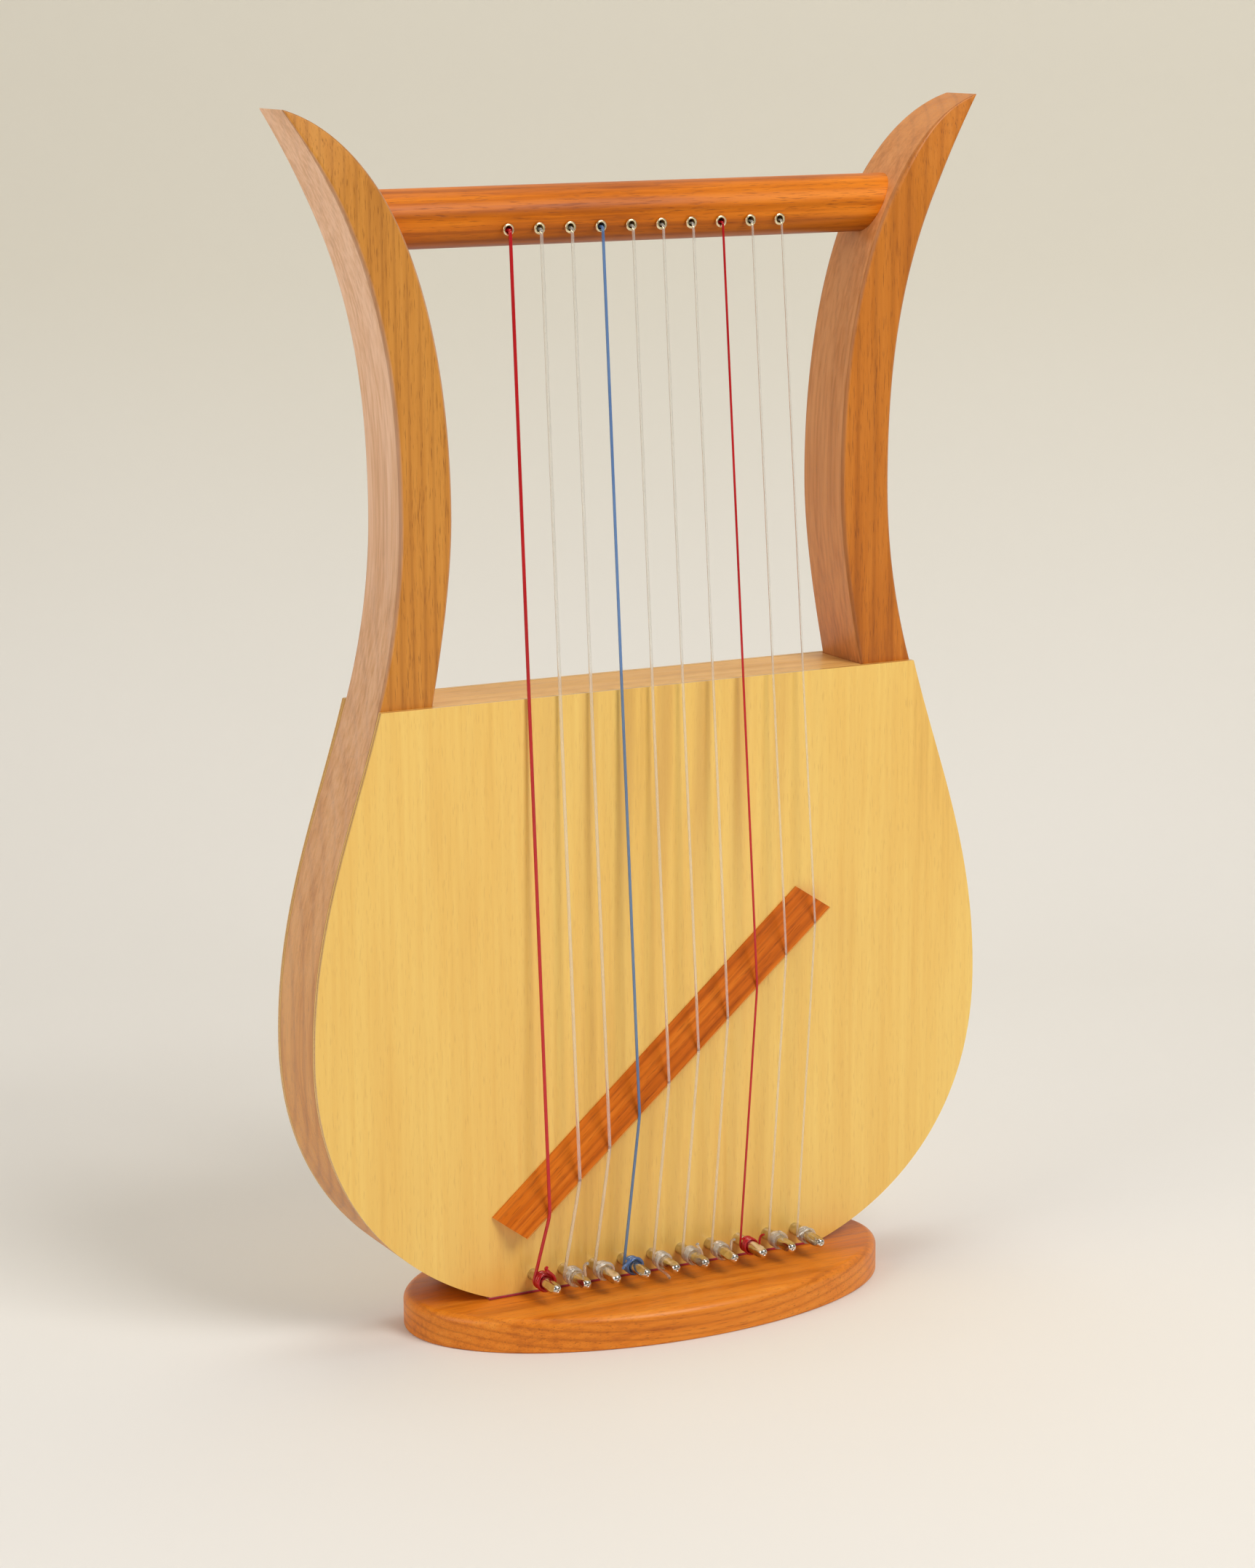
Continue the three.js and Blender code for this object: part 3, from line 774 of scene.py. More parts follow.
def rod(
    start: Vector, end: Vector, radius: float, sides: int, far_radius: float | None = None
) -> Shape:
    """A round or tapered rod between two points.

    Args:
        start: The middle of its first end.
        end: The middle of its other end.
        radius: Its radius at the start.
        sides: The faces round it.
        far_radius: Its radius at the other end, if it differs.

    Returns:
        The solid.
    """
    bm = bmesh.new()
    run = end - start
    turn = run.to_track_quat("Z", "Y").to_matrix().to_4x4()
    bmesh.ops.create_cone(
        bm, cap_ends=True, segments=sides, radius1=radius,
        radius2=radius if far_radius is None else far_radius, depth=run.length,
        matrix=Matrix.Translation((start + end) / 2) @ turn
    )
    return settled(bm)


def drilled(
    bm: Shape, at: Vector, axis: int, ends: tuple[float, float], radius: float, sides: int
) -> Shape:
    """Cuts a round hole along an axis.

    Args:
        bm: The shape that is drilled.
        at: A point on the hole's middle line.
        axis: The axis that it runs along, as a number.
        ends: Where it starts and ends on that axis.
        radius: Its radius.
        sides: The faces round it.

    Returns:
        The drilled shape.
    """
    start, end = at.copy(), at.copy()
    start[axis], end[axis] = ends
    return carved(bm, rod(start, end, radius, sides), Cut.AWAY)


def tube(points: Sequence[Vector], radius: float, roundness: int = 4) -> Shape:
    """A round string along a route.

    Args:
        points: The route.
        radius: The string's radius.
        roundness: How finely it is rounded.

    Returns:
        The closed tube.
    """
    curve = bpy.data.curves.new("route", "CURVE")
    curve.dimensions = "3D"
    spline = curve.splines.new("POLY")
    spline.points.add(len(points) - 1)
    for point, place in zip(spline.points, points):
        point.co = (*place, 1)
    curve.bevel_depth = radius
    curve.bevel_resolution = roundness
    curve.use_fill_caps = True
    holder = bpy.data.objects.new("route", curve)
    bpy.context.scene.collection.objects.link(holder)
    bm = taken_back(holder)
    bpy.data.curves.remove(curve)
    bmesh.ops.remove_doubles(bm, verts=bm.verts, dist=1e-6)
    bmesh.ops.recalc_face_normals(bm, faces=bm.faces)
    return bm


def softened(corners: Sequence[Vector], reach: float, steps: int = 6) -> list[Vector]:
    """A route whose inner corners are rounded.

    Args:
        corners: The route's corners.
        reach: How far from a corner its rounding starts.
        steps: The points on each rounding, less one.

    Returns:
        The rounded route.
    """
    route = [corners[0]]
    for before, corner, after in zip(corners, corners[1:], corners[2:]):
        start = corner + (before - corner).normalized() * min(reach, (before - corner).length / 2)
        end = corner + (after - corner).normalized() * min(reach, (after - corner).length / 2)
        middle_a, middle_b = start.lerp(corner, 0.6), end.lerp(corner, 0.6)
        route += interpolate_bezier(start, middle_a, middle_b, end, steps + 1)
    return [*route, corners[-1]]


def piece(
    name: str, bm: Shape, material: Material, stands_for: Sequence[str],
    body: str = FRAME_BODY, arris: float = 0
) -> bpy.types.Object:
    """Finishes a shape as a piece of the lyre.

    Args:
        name: The piece's name.
        bm: Its shape.
        material: Its finish.
        stands_for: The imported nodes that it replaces.
        body: The body that it rides on.
        arris: The width of the softening on its sharp edges, or 0 for none.

    Returns:
        The piece.
    """
    for face in bm.faces:
        face.smooth = True
    if not arris:
        for edge in bm.edges:
            edge.smooth = not (edge.is_manifold and edge.calc_face_angle() > SHARP)
    open_edges = sum(not edge.is_manifold for edge in bm.edges)
    made = loose_object(name, bm)
    if arris:
        soft = made.modifiers.new("soft_arrises", "BEVEL")
        soft.limit_method = "ANGLE"
        soft.angle_limit = SHARP
        soft.width = arris
        soft.segments = 3
    made.modifiers.new("even_shading", "WEIGHTED_NORMAL").keep_sharp = True
    made.data.materials.append(material)
    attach(made, body)
    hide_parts(*stands_for)
    log.info("%s: %d faces, %d open edges", name, len(made.data.polygons), open_edges)
    return made


def dressed(node: str, material: Material) -> None:
    """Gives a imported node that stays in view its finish.

    Args:
        node: The node's name.
        material: Its finish.
    """
    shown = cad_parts[node]
    shown.data.materials.clear()
    shown.data.materials.append(material)
    log.info("%s: dressed as packed", node)


def middle(node: str) -> Vector:
    """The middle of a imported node's box."""
    low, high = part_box(node)
    return (low + high) / 2


def direction(degrees: float) -> Vector:
    """A unit vector in the upright plane, turned up from +X."""
    return around(Vector(), 1, math.radians(degrees), 0)


def around(centre: Vector, radius: float, angle: float, y: float) -> Vector:
    """A point round an axis along Y.

    Args:
        centre: A point on the axis.
        radius: The distance from it.
        angle: The angle up from +X, in radians.
        y: The place along Y.

    Returns:
        The point.
    """
    x, z = radius * math.cos(angle), radius * math.sin(angle)
    return Vector((centre.x + x, y, centre.z + z))


# ---- frame


@dataclass
class Outline:
    """The curves of one arm and its side of the box, on the right side, in mm."""

    base: tuple[float, float] = (82, 16)
    widest: tuple[float, float] = (160.4, 130)
    waist: tuple[float, float] = (116.2, 356)
    tip: tuple[float, float] = (162, 520)
    inner_waist: tuple[float, float] = (92.6, 356)
    inner_widest: tuple[float, float] = (136.4, 130)
    block_corner: tuple[float, float] = (74.6, 46)
    steps: tuple[int, int, int] = (40, 52, 60)
    block_steps: int = 8

    def bow(
        self, start: tuple[float, float], leave: Vector, arrive: Vector, end: tuple[float, float],
        steps: int
    ) -> list[Vector]:
        """One curve of the outline.

        Args:
            start: Its first point.
            leave: The handle at the start, in mm.
            arrive: The handle at the end, in mm.
            end: Its last point.
            steps: Its divisions.

        Returns:
            Its points, in metres.
        """
        first, last = (Vector((x, 0, z)) for x, z in (start, end))
        points = interpolate_bezier(first, first + leave, last + arrive, last, steps + 1)
        return [p * MM for p in points]

    def outer(self) -> list[Vector]:
        """The outer curve, from the base to the tip.

        Returns:
            Its points, in metres.
        """
        low, middle_steps, high = self.steps
        up = Vector((0, 0, 1))
        return [
            *self.bow(self.base, 4 * direction(25), -90 * up, self.widest, low),
            *self.bow(self.widest, 87 * up, -93 * up, self.waist, middle_steps)[1:],
            *self.bow(self.waist, 64 * up, 65 * direction(236), self.tip, high)[1:],
        ]

    def inner(self) -> list[Vector]:
        """The inner curve, from the base to beside the tip.

        Returns:
            Its points, in metres, as many as on the outer curve.
        """
        low, middle_steps, high = self.steps
        up = Vector((0, 0, 1))
        across = Vector((40, 0, 0))
        foot = Vector((self.block_corner[0], 0, self.base[1])) * MM
        corner = Vector((self.block_corner[0], 0, self.block_corner[1])) * MM
        riser = [foot.lerp(corner, k / self.block_steps) for k in range(self.block_steps)]
        low -= self.block_steps
        curve = [
            *riser, *self.bow(self.block_corner, across, -45 * up, self.inner_widest, low),
            *self.bow(self.inner_widest, 30 * up, -75 * up, self.inner_waist, middle_steps)[1:],
            *self.bow(self.inner_waist, 88 * up, 45 * direction(196), self.tip, high)[1:]
        ]
        curve[-1] = curve[-1].lerp(curve[-2], 0.45)
        return curve

    def panel(self, top: float) -> list[Vector]:
        """The whole outline of the box.

        Args:
            top: The height of its upper edge, in metres.

        Returns:
            Its points, in metres.
        """
        right = [p for p in self.outer() if p.z < top - MM]
        outer = self.outer()
        k = next(i for i, p in enumerate(outer) if p.z >= top)
        below, above = outer[k - 1], outer[k]
        right.append(below.lerp(above, (top - below.z) / (above.z - below.z)))
        left = [Vector((-p.x, p.y, p.z)) for p in reversed(right)]
        return right + left


@dataclass
class Arms:
    """The two arms, which run on down as the sides of the box."""

    finishes: Finishes
    outline: Outline = field(default_factory=Outline)
    rounding: float = 2.4 * MM
    taper: float = 42 * MM
    tip_share: float = 0.7

    def blank(self, front: float, depth: float, board_top: float) -> Shape:
        """The right arm with square edges.

        Args:
            front: The place of its front face along Y.
            depth: Its thickness from front to back.
            board_top: The height where the soundboard ends.

        Returns:
            The arm as a strip of faces made solid.
        """
        bm = bmesh.new()
        outer = [bm.verts.new(p + Vector((0, front, 0))) for p in self.outline.outer()]
        chain = [bm.edges.new(pair) for pair in zip(outer, outer[1:])]
        bmesh.ops.extrude_edge_only(bm, edges=chain)
        known = set(outer)
        for vert, place in zip(outer, self.outline.inner()):
            ends = (edge.other_vert(vert) for edge in vert.link_edges)
            partner = next(end for end in ends if end not in known)
            partner.co = place + Vector((0, front, 0))
        bmesh.ops.bisect_plane(
            bm, geom=bm.verts[:] + bm.edges[:] + bm.faces[:], plane_co=(0, 0, board_top),
            plane_no=(0, 0, 1)
        )
        pushed(bm, bm.faces[:], Vector((0, depth, 0)))
        return settled(bm)

    def rounded(self, bm: Shape, board_top: float) -> Shape:
        """Rounds the long edges: fully above the box, and finely at the tip and below.

        Args:
            bm: The arm with square edges.
            board_top: The height where the soundboard ends.

        Returns:
            The rounded arm.
        """
        weights = bm.edges.layers.float.new("bevel_weight_edge")
        tip = self.outline.tip[1] * MM
        for edge in bm.edges:
            if not edge.is_manifold or edge.calc_face_angle() < SHARP:
                continue
            height = sum(v.co.z for v in edge.verts) / 2
            along_depth = abs(edge.verts[0].co.y - edge.verts[1].co.y) > MM
            share = min(1.0, max(0.12, (tip - height) / (26 * MM)))
            if height > tip - 3 * MM:
                share = 0.24
            elif along_depth or height < board_top:
                share = 0.1
            edge[weights] = share
        arm = loose_object("arm", bm)
        soft = arm.modifiers.new("round", "BEVEL")
        soft.limit_method = "WEIGHT"
        soft.width = self.rounding
        soft.segments = 5
        soft.use_clamp_overlap = False
        return taken_back(arm)

    def narrowed(self, bm: Shape, centre: float) -> None:
        """Thins the horn towards its tip.

        Args:
            bm: The arm.
            centre: The middle of its depth along Y.
        """
        tip = self.outline.tip[1] * MM
        for vert in bm.verts:
            t = max(0.0, 1 - (tip - vert.co.z) / self.taper)
            share = 1 - (1 - self.tip_share) * t * t * (1.6 - 0.6 * t)
            vert.co.y = centre + (vert.co.y - centre) * share

    def build(self) -> None:
        """Builds both arms."""
        low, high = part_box("right_arm")
        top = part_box("soundboard")[1].z
        for side in Side:
            bm = self.rounded(self.blank(low.y, high.y - low.y, top), top)
            self.narrowed(bm, (low.y + high.y) / 2)
            if side is Side.LEFT:
                bmesh.ops.scale(bm, vec=(-1, 1, 1), verts=bm.verts)
            name = f"{side.name.lower()}_arm"
            piece(f"{name}_shaped", settled(bm), self.finishes.arms[side], [name])


@dataclass
class Crossbar:
    """The round bar between the arms, with its row of eyelets."""

    finishes: Finishes
    bore: float = 1.3 * MM
    seat: float = 1.85 * MM
    flange: float = 2.5 * MM
    barrel: float = 1.75 * MM
    hole: float = 1.4 * MM
    lip: float = 0.5 * MM
    eyelet_length: float = 5 * MM

    def build_bar(self) -> None:
        """Builds the bar and bores it for the strings."""
        low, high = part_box("crossbar")
        centre = (low + high) / 2
        bar = rod(
            Vector((low.x, centre.y, centre.z)), Vector((high.x, centre.y, centre.z)),
            (high.z - low.z) / 2, 112
        )
        front, back = low.y - CLEAR, high.y + CLEAR
        for i in range(STRING_COUNT):
            eyelet = middle(f"eyelet_{i + 1}")
            seat_end = eyelet.y + self.eyelet_length / 2
            for radius, end in ((self.bore, back), (self.seat, seat_end)):
                bar = drilled(bar, eyelet, Y, (front, end), radius, 24)
        piece("crossbar_turned", bar, self.finishes.bar, ["crossbar"])

    def build_eyelets(self) -> None:
        """Builds the row of flanged eyelets."""
        for i in range(STRING_COUNT):
            node = f"eyelet_{i + 1}"
            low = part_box(node)[0]
            centre = middle(node)
            centre.y = low.y
            roll = [
                (
                    self.flange - self.lip - self.lip * math.cos(math.radians(a)),
                    self.lip - self.lip * math.sin(math.radians(a)),
                )
                for a in range(0, 181, 20)
            ]
            profile = [
                (self.hole, self.eyelet_length), (self.hole, 2.2 * self.lip), *roll,
                (self.flange, 1.7 * self.lip), (self.barrel, 1.8 * self.lip),
                (self.barrel, self.eyelet_length), (self.hole, self.eyelet_length)
            ]
            bm = lathed(profile, centre, 40)
            piece(f"{node}_rolled", bm, self.finishes.brass, [node])

    def build(self) -> None:
        """Builds the bar and its eyelets."""
        self.build_bar()
        self.build_eyelets()


@dataclass
class Box:
    """The sound box: soundboard, back, top rail, block and braces."""

    finishes: Finishes
    outline: Outline = field(default_factory=Outline)
    arris: float = 0.5 * MM
    pin_hole: float = 2.63 * MM
    hole_radius: float = 30 * MM
    hole_height: float = 150 * MM

    def panel(self, node: str) -> Shape:
        """One of the two plywood panels, before its holes.

        Args:
            node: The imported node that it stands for.

        Returns:
            The panel with square edges.
        """
        low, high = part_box(node)
        corners = [p + Vector((0, low.y, 0)) for p in self.outline.panel(high.z)]
        return prism(corners, Vector((0, high.y - low.y, 0)))

    def finish(self, node: str, bm: Shape, material: Material) -> None:
        """Finishes a sanded piece of the box.

        Args:
            node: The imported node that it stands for.
            bm: Its shape.
            material: Its finish.
        """
        piece(f"{node}_sanded", bm, material, [node], arris=self.arris)

    def build_panels(self) -> None:
        """Builds the soundboard and the back with their holes."""
        board = self.panel("soundboard")
        low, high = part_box("soundboard")
        for i in range(STRING_COUNT):
            pin = middle(f"tuning_pin_{i + 1}")
            board = drilled(board, pin, Y, (low.y - CLEAR, high.y + CLEAR), self.pin_hole, 32)
        self.finish("soundboard", board, self.finishes.board)
        back = self.panel("back_panel")
        low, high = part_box("back_panel")
        centre = Vector((0, 0, self.hole_height))
        back = drilled(back, centre, Y, (low.y - CLEAR, high.y + CLEAR), self.hole_radius, 96)
        self.finish("back_panel", back, self.finishes.back)

    def build_rail(self) -> None:
        """Softens the edges of a copy of the top rail."""
        bm = bmesh.new()
        bm.from_mesh(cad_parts["top_rail"].data)
        bmesh.ops.remove_doubles(bm, verts=bm.verts, dist=1e-6)
        bmesh.ops.dissolve_limit(bm, angle_limit=math.radians(0.4), verts=bm.verts, edges=bm.edges)
        self.finish("top_rail", settled(bm), self.finishes.rail)

    def build(self) -> None:
        """Builds the box and dresses what is inside it."""
        self.build_panels()
        self.build_rail()
        dressed("pin_block", self.finishes.maple)
        for node in ("soundboard_brace", "back_brace"):
            dressed(node, self.finishes.spruce)


@dataclass
class BridgeSizes:
    """The bridge's sizes, in mm, and its slope in degrees."""

    angle: float = 40.8
    centre_height: float = 111.4
    length: float = 196.5
    width: float = 15.4
    low_edge: float = 0.8
    high_edge: float = 10
    chamfer: float = 1.3
    end_slant: float = 3.5
    notch_gap: float = 14.5
    notch_offset: float = 7
    notch_depth: float = 0.35

    def point(self, length: float, across: float, out: float) -> Vector:
        """A point of the bridge.

        Args:
            length: Its place along the bridge, from the middle.
            across: Its place down across the width.
            out: Its height off the soundboard.

        Returns:
            The point, in metres.
        """
        run = direction(self.angle)
        down = Vector((run.z, 0, -run.x)) * (across - self.width / 2)
        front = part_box("soundboard")[0].y / MM
        place = run * length + down + Vector((0, front - out, self.centre_height))
        return place * MM

    def notch(self, i: int, out: float) -> Vector:
        """The place on the high edge where a string crosses.

        Args:
            i: The string's number from 0.
            out: The place's height off the soundboard, in mm.

        Returns:
            The place, in metres.
        """
        across = self.width - self.chamfer
        edge = self.point(0, across, out)
        x = self.notch_offset + (i - (STRING_COUNT - 1) / 2) * self.notch_gap
        run = direction(self.angle)
        return edge + run * ((x * MM - edge.x) / run.x)


@dataclass
class Bridge:
    """The slanted wedge that the strings bend over."""

    finishes: Finishes
    sizes: BridgeSizes = field(default_factory=BridgeSizes)
    arris: float = 0.25 * MM
    file_reach: float = 3 * MM

    def build(self) -> None:
        """Builds the wedge and files a notch for each string."""
        z = self.sizes
        section = [
            (0, 0.1), (z.width, 0.1), (z.width, z.high_edge - z.chamfer),
            (z.width - z.chamfer, z.high_edge), (0, z.low_edge)
        ]
        ends = [
            z.point(z.end_slant * (across / z.width - 0.5) - z.length / 2, across, out)
            for across, out in section
        ]
        wedge = prism(ends, direction(z.angle) * z.length * MM)
        way = Vector((0.04, 0.16, -1)).normalized() * self.file_reach
        for i in range(STRING_COUNT):
            radius = Strings.radius(i) + 0.12 * MM
            deep = z.notch(i, z.high_edge) + Vector((0, z.notch_depth * MM - radius, 0))
            wedge = carved(wedge, rod(deep - way, deep + way, radius, 16), Cut.AWAY)
        material = self.finishes.bridge
        piece("bridge_notched", wedge, material, ["bridge"], arris=self.arris)


@dataclass
class Foot:
    """The oval foot with its felt and its two screws."""

    finishes: Finishes
    rounding: float = 3.8 * MM
    lower_rounding: float = 0.9 * MM
    segments: int = 168
    screw_radius: float = 2.4 * MM
    head_radius: float = 4.5 * MM
    head_depth: float = 3.9 * MM
    felt_proud: float = 0.7 * MM
    felt_squeeze: float = 0.05 * MM

    def build(self) -> None:
        """Builds the foot, and dresses the felt and the screws."""
        low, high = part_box("foot")
        bm = bmesh.new()
        bmesh.ops.create_circle(bm, cap_ends=True, segments=self.segments, radius=1)
        bmesh.ops.scale(bm, vec=(high.x, high.y, 1), verts=bm.verts)
        pushed(bm, bm.faces[:], Vector((0, 0, high.z - low.z)))
        settled(bm)
        rims = ((high.z, self.rounding, 8), (low.z, self.lower_rounding, 3))
        for height, offset, segments in rims:
            rim = [e for e in bm.edges if all(abs(v.co.z - height) < 1e-6 for v in e.verts)]
            bmesh.ops.bevel(
                bm, geom=rim, offset=offset, segments=segments, profile=0.5, affect="EDGES",
                material=-1, clamp_overlap=True
            )
        for side in Side:
            screw = middle(f"foot_screw_{side.name.lower()}")
            bores = ((self.screw_radius, high.z + CLEAR), (self.head_radius, self.head_depth))
            for radius, top in bores:
                bm = drilled(bm, screw, Z, (-CLEAR, top), radius, 32)
        piece("foot_rounded", bm, self.finishes.foot, ["foot"])
        self.build_felt()
        for side in Side:
            dressed(f"foot_screw_{side.name.lower()}", self.finishes.steel)

    def build_felt(self) -> None:
        """Builds the strip of felt, which stands a little proud of the box."""
        low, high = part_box("seat_felt")
        proud = Vector((self.felt_proud, self.felt_proud, self.felt_squeeze))
        low, high = low - proud, high + proud
        bm = bmesh.new()
        size = Matrix.Diagonal((*(high - low), 1))
        bmesh.ops.create_cube(bm, size=1, matrix=Matrix.Translation((low + high) / 2) @ size)
        for side in Side:
            screw = middle(f"foot_screw_{side.name.lower()}")
            bm = drilled(bm, screw, Z, (low.z - MM, high.z + MM), self.screw_radius, 32)
        arris = 0.3 * MM
        piece("seat_felt_strip", bm, self.finishes.felt, ["seat_felt"], arris=arris)


# ---- strings and pins


@dataclass
class Strings:
    """The ten strings, from their knots behind the bar to their pins."""

    finishes: Finishes
    bridge: BridgeSizes = field(default_factory=BridgeSizes)
    knot_radius: float = 1.15 * MM
    knot_steps: int = 48
    knot_gap: float = 0.35
    lip_bend: float = 1.1 * MM
    pin_radius: float = 2.65 * MM
    pin_wrap: float = 320
    wrap_steps: int = 40
    wrap_rise: float = 0.22 * MM
    stand_off: float = 8 * MM

    @staticmethod
    def radius(i: int) -> float:
        """A string's radius.

        Args:
            i: Its number from 0.

        Returns:
            The radius, in metres.
        """
        thick, thin = 1.5, 0.87
        return (thick + (thin - thick) * i / (STRING_COUNT - 1)) / 2 * MM

    def line_y(self) -> float:
        """The place along Y where the strings meet their pins."""
        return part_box("soundboard")[0].y - self.stand_off

    def knot(self, centre: Vector, radius: float) -> list[Vector]:
        """An overhand knot behind the bar, with a short end.

        Args:
            centre: The knot's middle.
            radius: The string's radius.

        Returns:
            Its route, from the short end to the bore.
        """
        size = max(self.knot_radius, 1.45 * radius) / 2
        width, depth = 0.62 * size, 0.95 * size
        turns = []
        for k in range(self.knot_steps + 1):
            t = self.knot_gap + 2 * (math.pi - self.knot_gap) * k / self.knot_steps
            x = width * (math.sin(t) + 2 * math.sin(2 * t))
            z = width * (math.cos(t) - 2 * math.cos(2 * t))
            turns.append(centre + Vector((x, -depth * math.sin(3 * t), z)))
        end = centre + Vector((1.6 * MM, 1.0 * MM, -2.6 * MM))
        return [end, end.lerp(turns[0], 0.5), *turns]

    def route(self, i: int) -> list[Vector]:
        """The route of one string.

        Args:
            i: Its number from 0.

        Returns:
            Its points, from the knot to the pin.
        """
        radius = self.radius(i)
        eyelet_low, eyelet_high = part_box(f"eyelet_{i + 1}")
        eyelet = (eyelet_low + eyelet_high) / 2
        bar_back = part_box("crossbar")[1].y
        x, z = eyelet.x, eyelet.z - 0.3 * MM
        knot = self.knot(Vector((x, bar_back + 1.4 * MM, eyelet.z)), radius)
        front = eyelet_low.y
        lip = [
            Vector((x, front - self.lip_bend * math.sin(a), z - self.lip_bend * (1 - math.cos(a))))
            for a in (math.radians(d) for d in range(0, 85, 12))
        ]
        bend = self.bridge.notch(i, self.bridge.high_edge + radius / MM - self.bridge.notch_depth)
        pin = middle(f"tuning_pin_{i + 1}")
        reach = self.pin_radius + radius
        away = bend - pin
        start = math.atan2(away.z, away.x) + math.acos(reach / math.hypot(away.x, away.z))
        wrap = []
        for k in range(self.wrap_steps + 1):
            share = k / self.wrap_steps
            a = start + math.radians(self.pin_wrap) * share
            y = self.line_y() - self.wrap_rise * share
            wrap.append(around(pin, reach, a, y))
        down = softened([lip[-1], bend, wrap[0]], 2.5 * MM)
        return [*knot, Vector((x, bar_back - 2 * MM, z)), *lip, *down[1:], *wrap[1:]]

    def build(self) -> None:
        """Builds the ten strings."""
        for i in range(STRING_COUNT):
            slot, material = self.finishes.string(i)
            node = f"string_{i + 1}"
            bm = tube(self.route(i), self.radius(i))
            piece(f"{node}_drawn", bm, material, [node])


@dataclass
class Pin:
    """One tuning pin with the string wound on it."""

    finishes: Finishes
    number: int
    head_turn: float
    tail_angle: float
    tail_reach: float
    radius: float = 2.6 * MM
    tip_half_side: float = 1.72 * MM
    winding_width: float = 4.6 * MM
    hole_radius: float = 0.7 * MM

    @property
    def body(self) -> str:
        """The name of the body that turns."""
        return f"pin_{self.number}"

    @property
    def string_radius(self) -> float:
        """The radius of the pin's string."""
        return Strings.radius(self.number - 1)

    def winding_start(self, line_y: float) -> float:
        """The place along Y where the winding starts, nearest the board."""
        return line_y - self.string_radius - 0.3 * MM

    def build_pin(self, line_y: float) -> None:
        """Builds the round shank and the tapered square head.

        Args:
            line_y: The place along Y where the string meets the pin.
        """
        node = f"tuning_pin_{self.number}"
        low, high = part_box(node)
        centre = middle(node)
        tip, end = low.y, high.y
        centre.y = 0
        r = self.radius
        profile = [
            (0, tip + 0.75 * MM), (0.34 * MM, tip + 0.62 * MM), (0.5 * MM, tip + 0.1 * MM),
            (0.66 * MM, tip), (1.1 * MM, tip + 0.08 * MM), (1.5 * MM, tip + 0.3 * MM),
            (1.85 * MM, tip + 0.66 * MM), (2.15 * MM, tip + 1.15 * MM), (2.4 * MM, tip + 1.9 * MM),
            (r, tip + 3.2 * MM), (r, end - 0.7 * MM), (r - 0.7 * MM, end), (0, end)
        ]
        shank = lathed(profile, centre, 48)
        head_start = self.winding_start(line_y) - self.winding_width
        slope = (r - self.tip_half_side) / (head_start - tip)
        near, far = tip - MM, end + MM
        sizes = [math.sqrt(2) * (self.tip_half_side + slope * (y - tip)) for y in (near, far)]
        square = rod(
            Vector((centre.x, near, centre.z)), Vector((centre.x, far, centre.z)), sizes[0], 4,
            sizes[1]
        )
        turn = Matrix.Rotation(math.radians(45 + self.head_turn), 4, "Y")
        bmesh.ops.rotate(square, cent=centre, matrix=turn.to_3x3(), verts=square.verts)
        pin = carved(shank, square, Cut.INSIDE)
        hole = Vector((centre.x, head_start + self.winding_width / 2, centre.z))
        ends = (centre.x - 2 * r, centre.x + 2 * r)
        pin = drilled(pin, hole, X, ends, self.hole_radius, 16)
        piece(f"{node}_ground", pin, self.finishes.nickel, [node], self.body, 0.1 * MM)

    def build_winding(self, line_y: float) -> None:
        """Winds the string round the pin and leaves its tail.

        Args:
            line_y: The place along Y where the string meets the pin.
        """
        pin = middle(f"tuning_pin_{self.number}")
        r = self.string_radius
        start = self.winding_start(line_y) - r
        width = self.winding_width - 2 * r
        turns = max(1.6, width / (2.06 * r))
        last = self.tail_angle - 40
        first = last - 360 * turns
        reach = self.radius + 0.06 * MM + r
        route = []
        steps = int(36 * turns)
        for k in range(steps + 1):
            share = k / steps
            a = math.radians(first + (last - first) * share)
            wobble = 0.07 * r * (1 + math.sin(3.1 * a + self.number))
            rise = 1.15 * r * max(0.0, (share * turns - turns + 0.5) / 0.5)
            route.append(around(pin, reach + wobble + rise, a, start - width * share))
        tail_length = self.tail_reach * MM
        end_y = route[-1].y - math.tan(math.radians(30)) * tail_length
        end = around(pin, reach + r + tail_length, math.radians(self.tail_angle), end_y)
        run = (route[-1] - route[-2]).normalized()
        leave = route[-1] + run * 1.1 * reach
        tail = interpolate_bezier(route[-1], leave, end.lerp(pin, 0.12), end, 12)
        slot, material = self.finishes.string(self.number - 1)
        bm = tube([*route, *tail[1:]], r)
        node = f"winding_{self.number}"
        piece(f"{node}_coiled", bm, material, [node], self.body)


@dataclass
class Pins:
    """The row of ten tuning pins."""

    finishes: Finishes
    head_turns: tuple[float, ...] = (20, 8, -14, 26, -6, 12, 32, -20, 5, 15)
    tails: tuple[tuple[float, float], ...] = (
        (95, 3.4), (55, 3.6), (150, 1.6), (170, 3.2), (-80, 3.2), (80, 2.4), (50, 3.4), (48, 3.6),
        (100, 1.6), (165, 3.4)
    )

    def build(self, line_y: float) -> None:
        """Builds every pin with its winding.

        Args:
            line_y: The place along Y where the strings meet the pins.
        """
        for i, (turn, (angle, reach)) in enumerate(zip(self.head_turns, self.tails)):
            pin = Pin(self.finishes, i + 1, turn, angle, reach)
            pin.build_pin(line_y)
            pin.build_winding(line_y)


# ---- studio


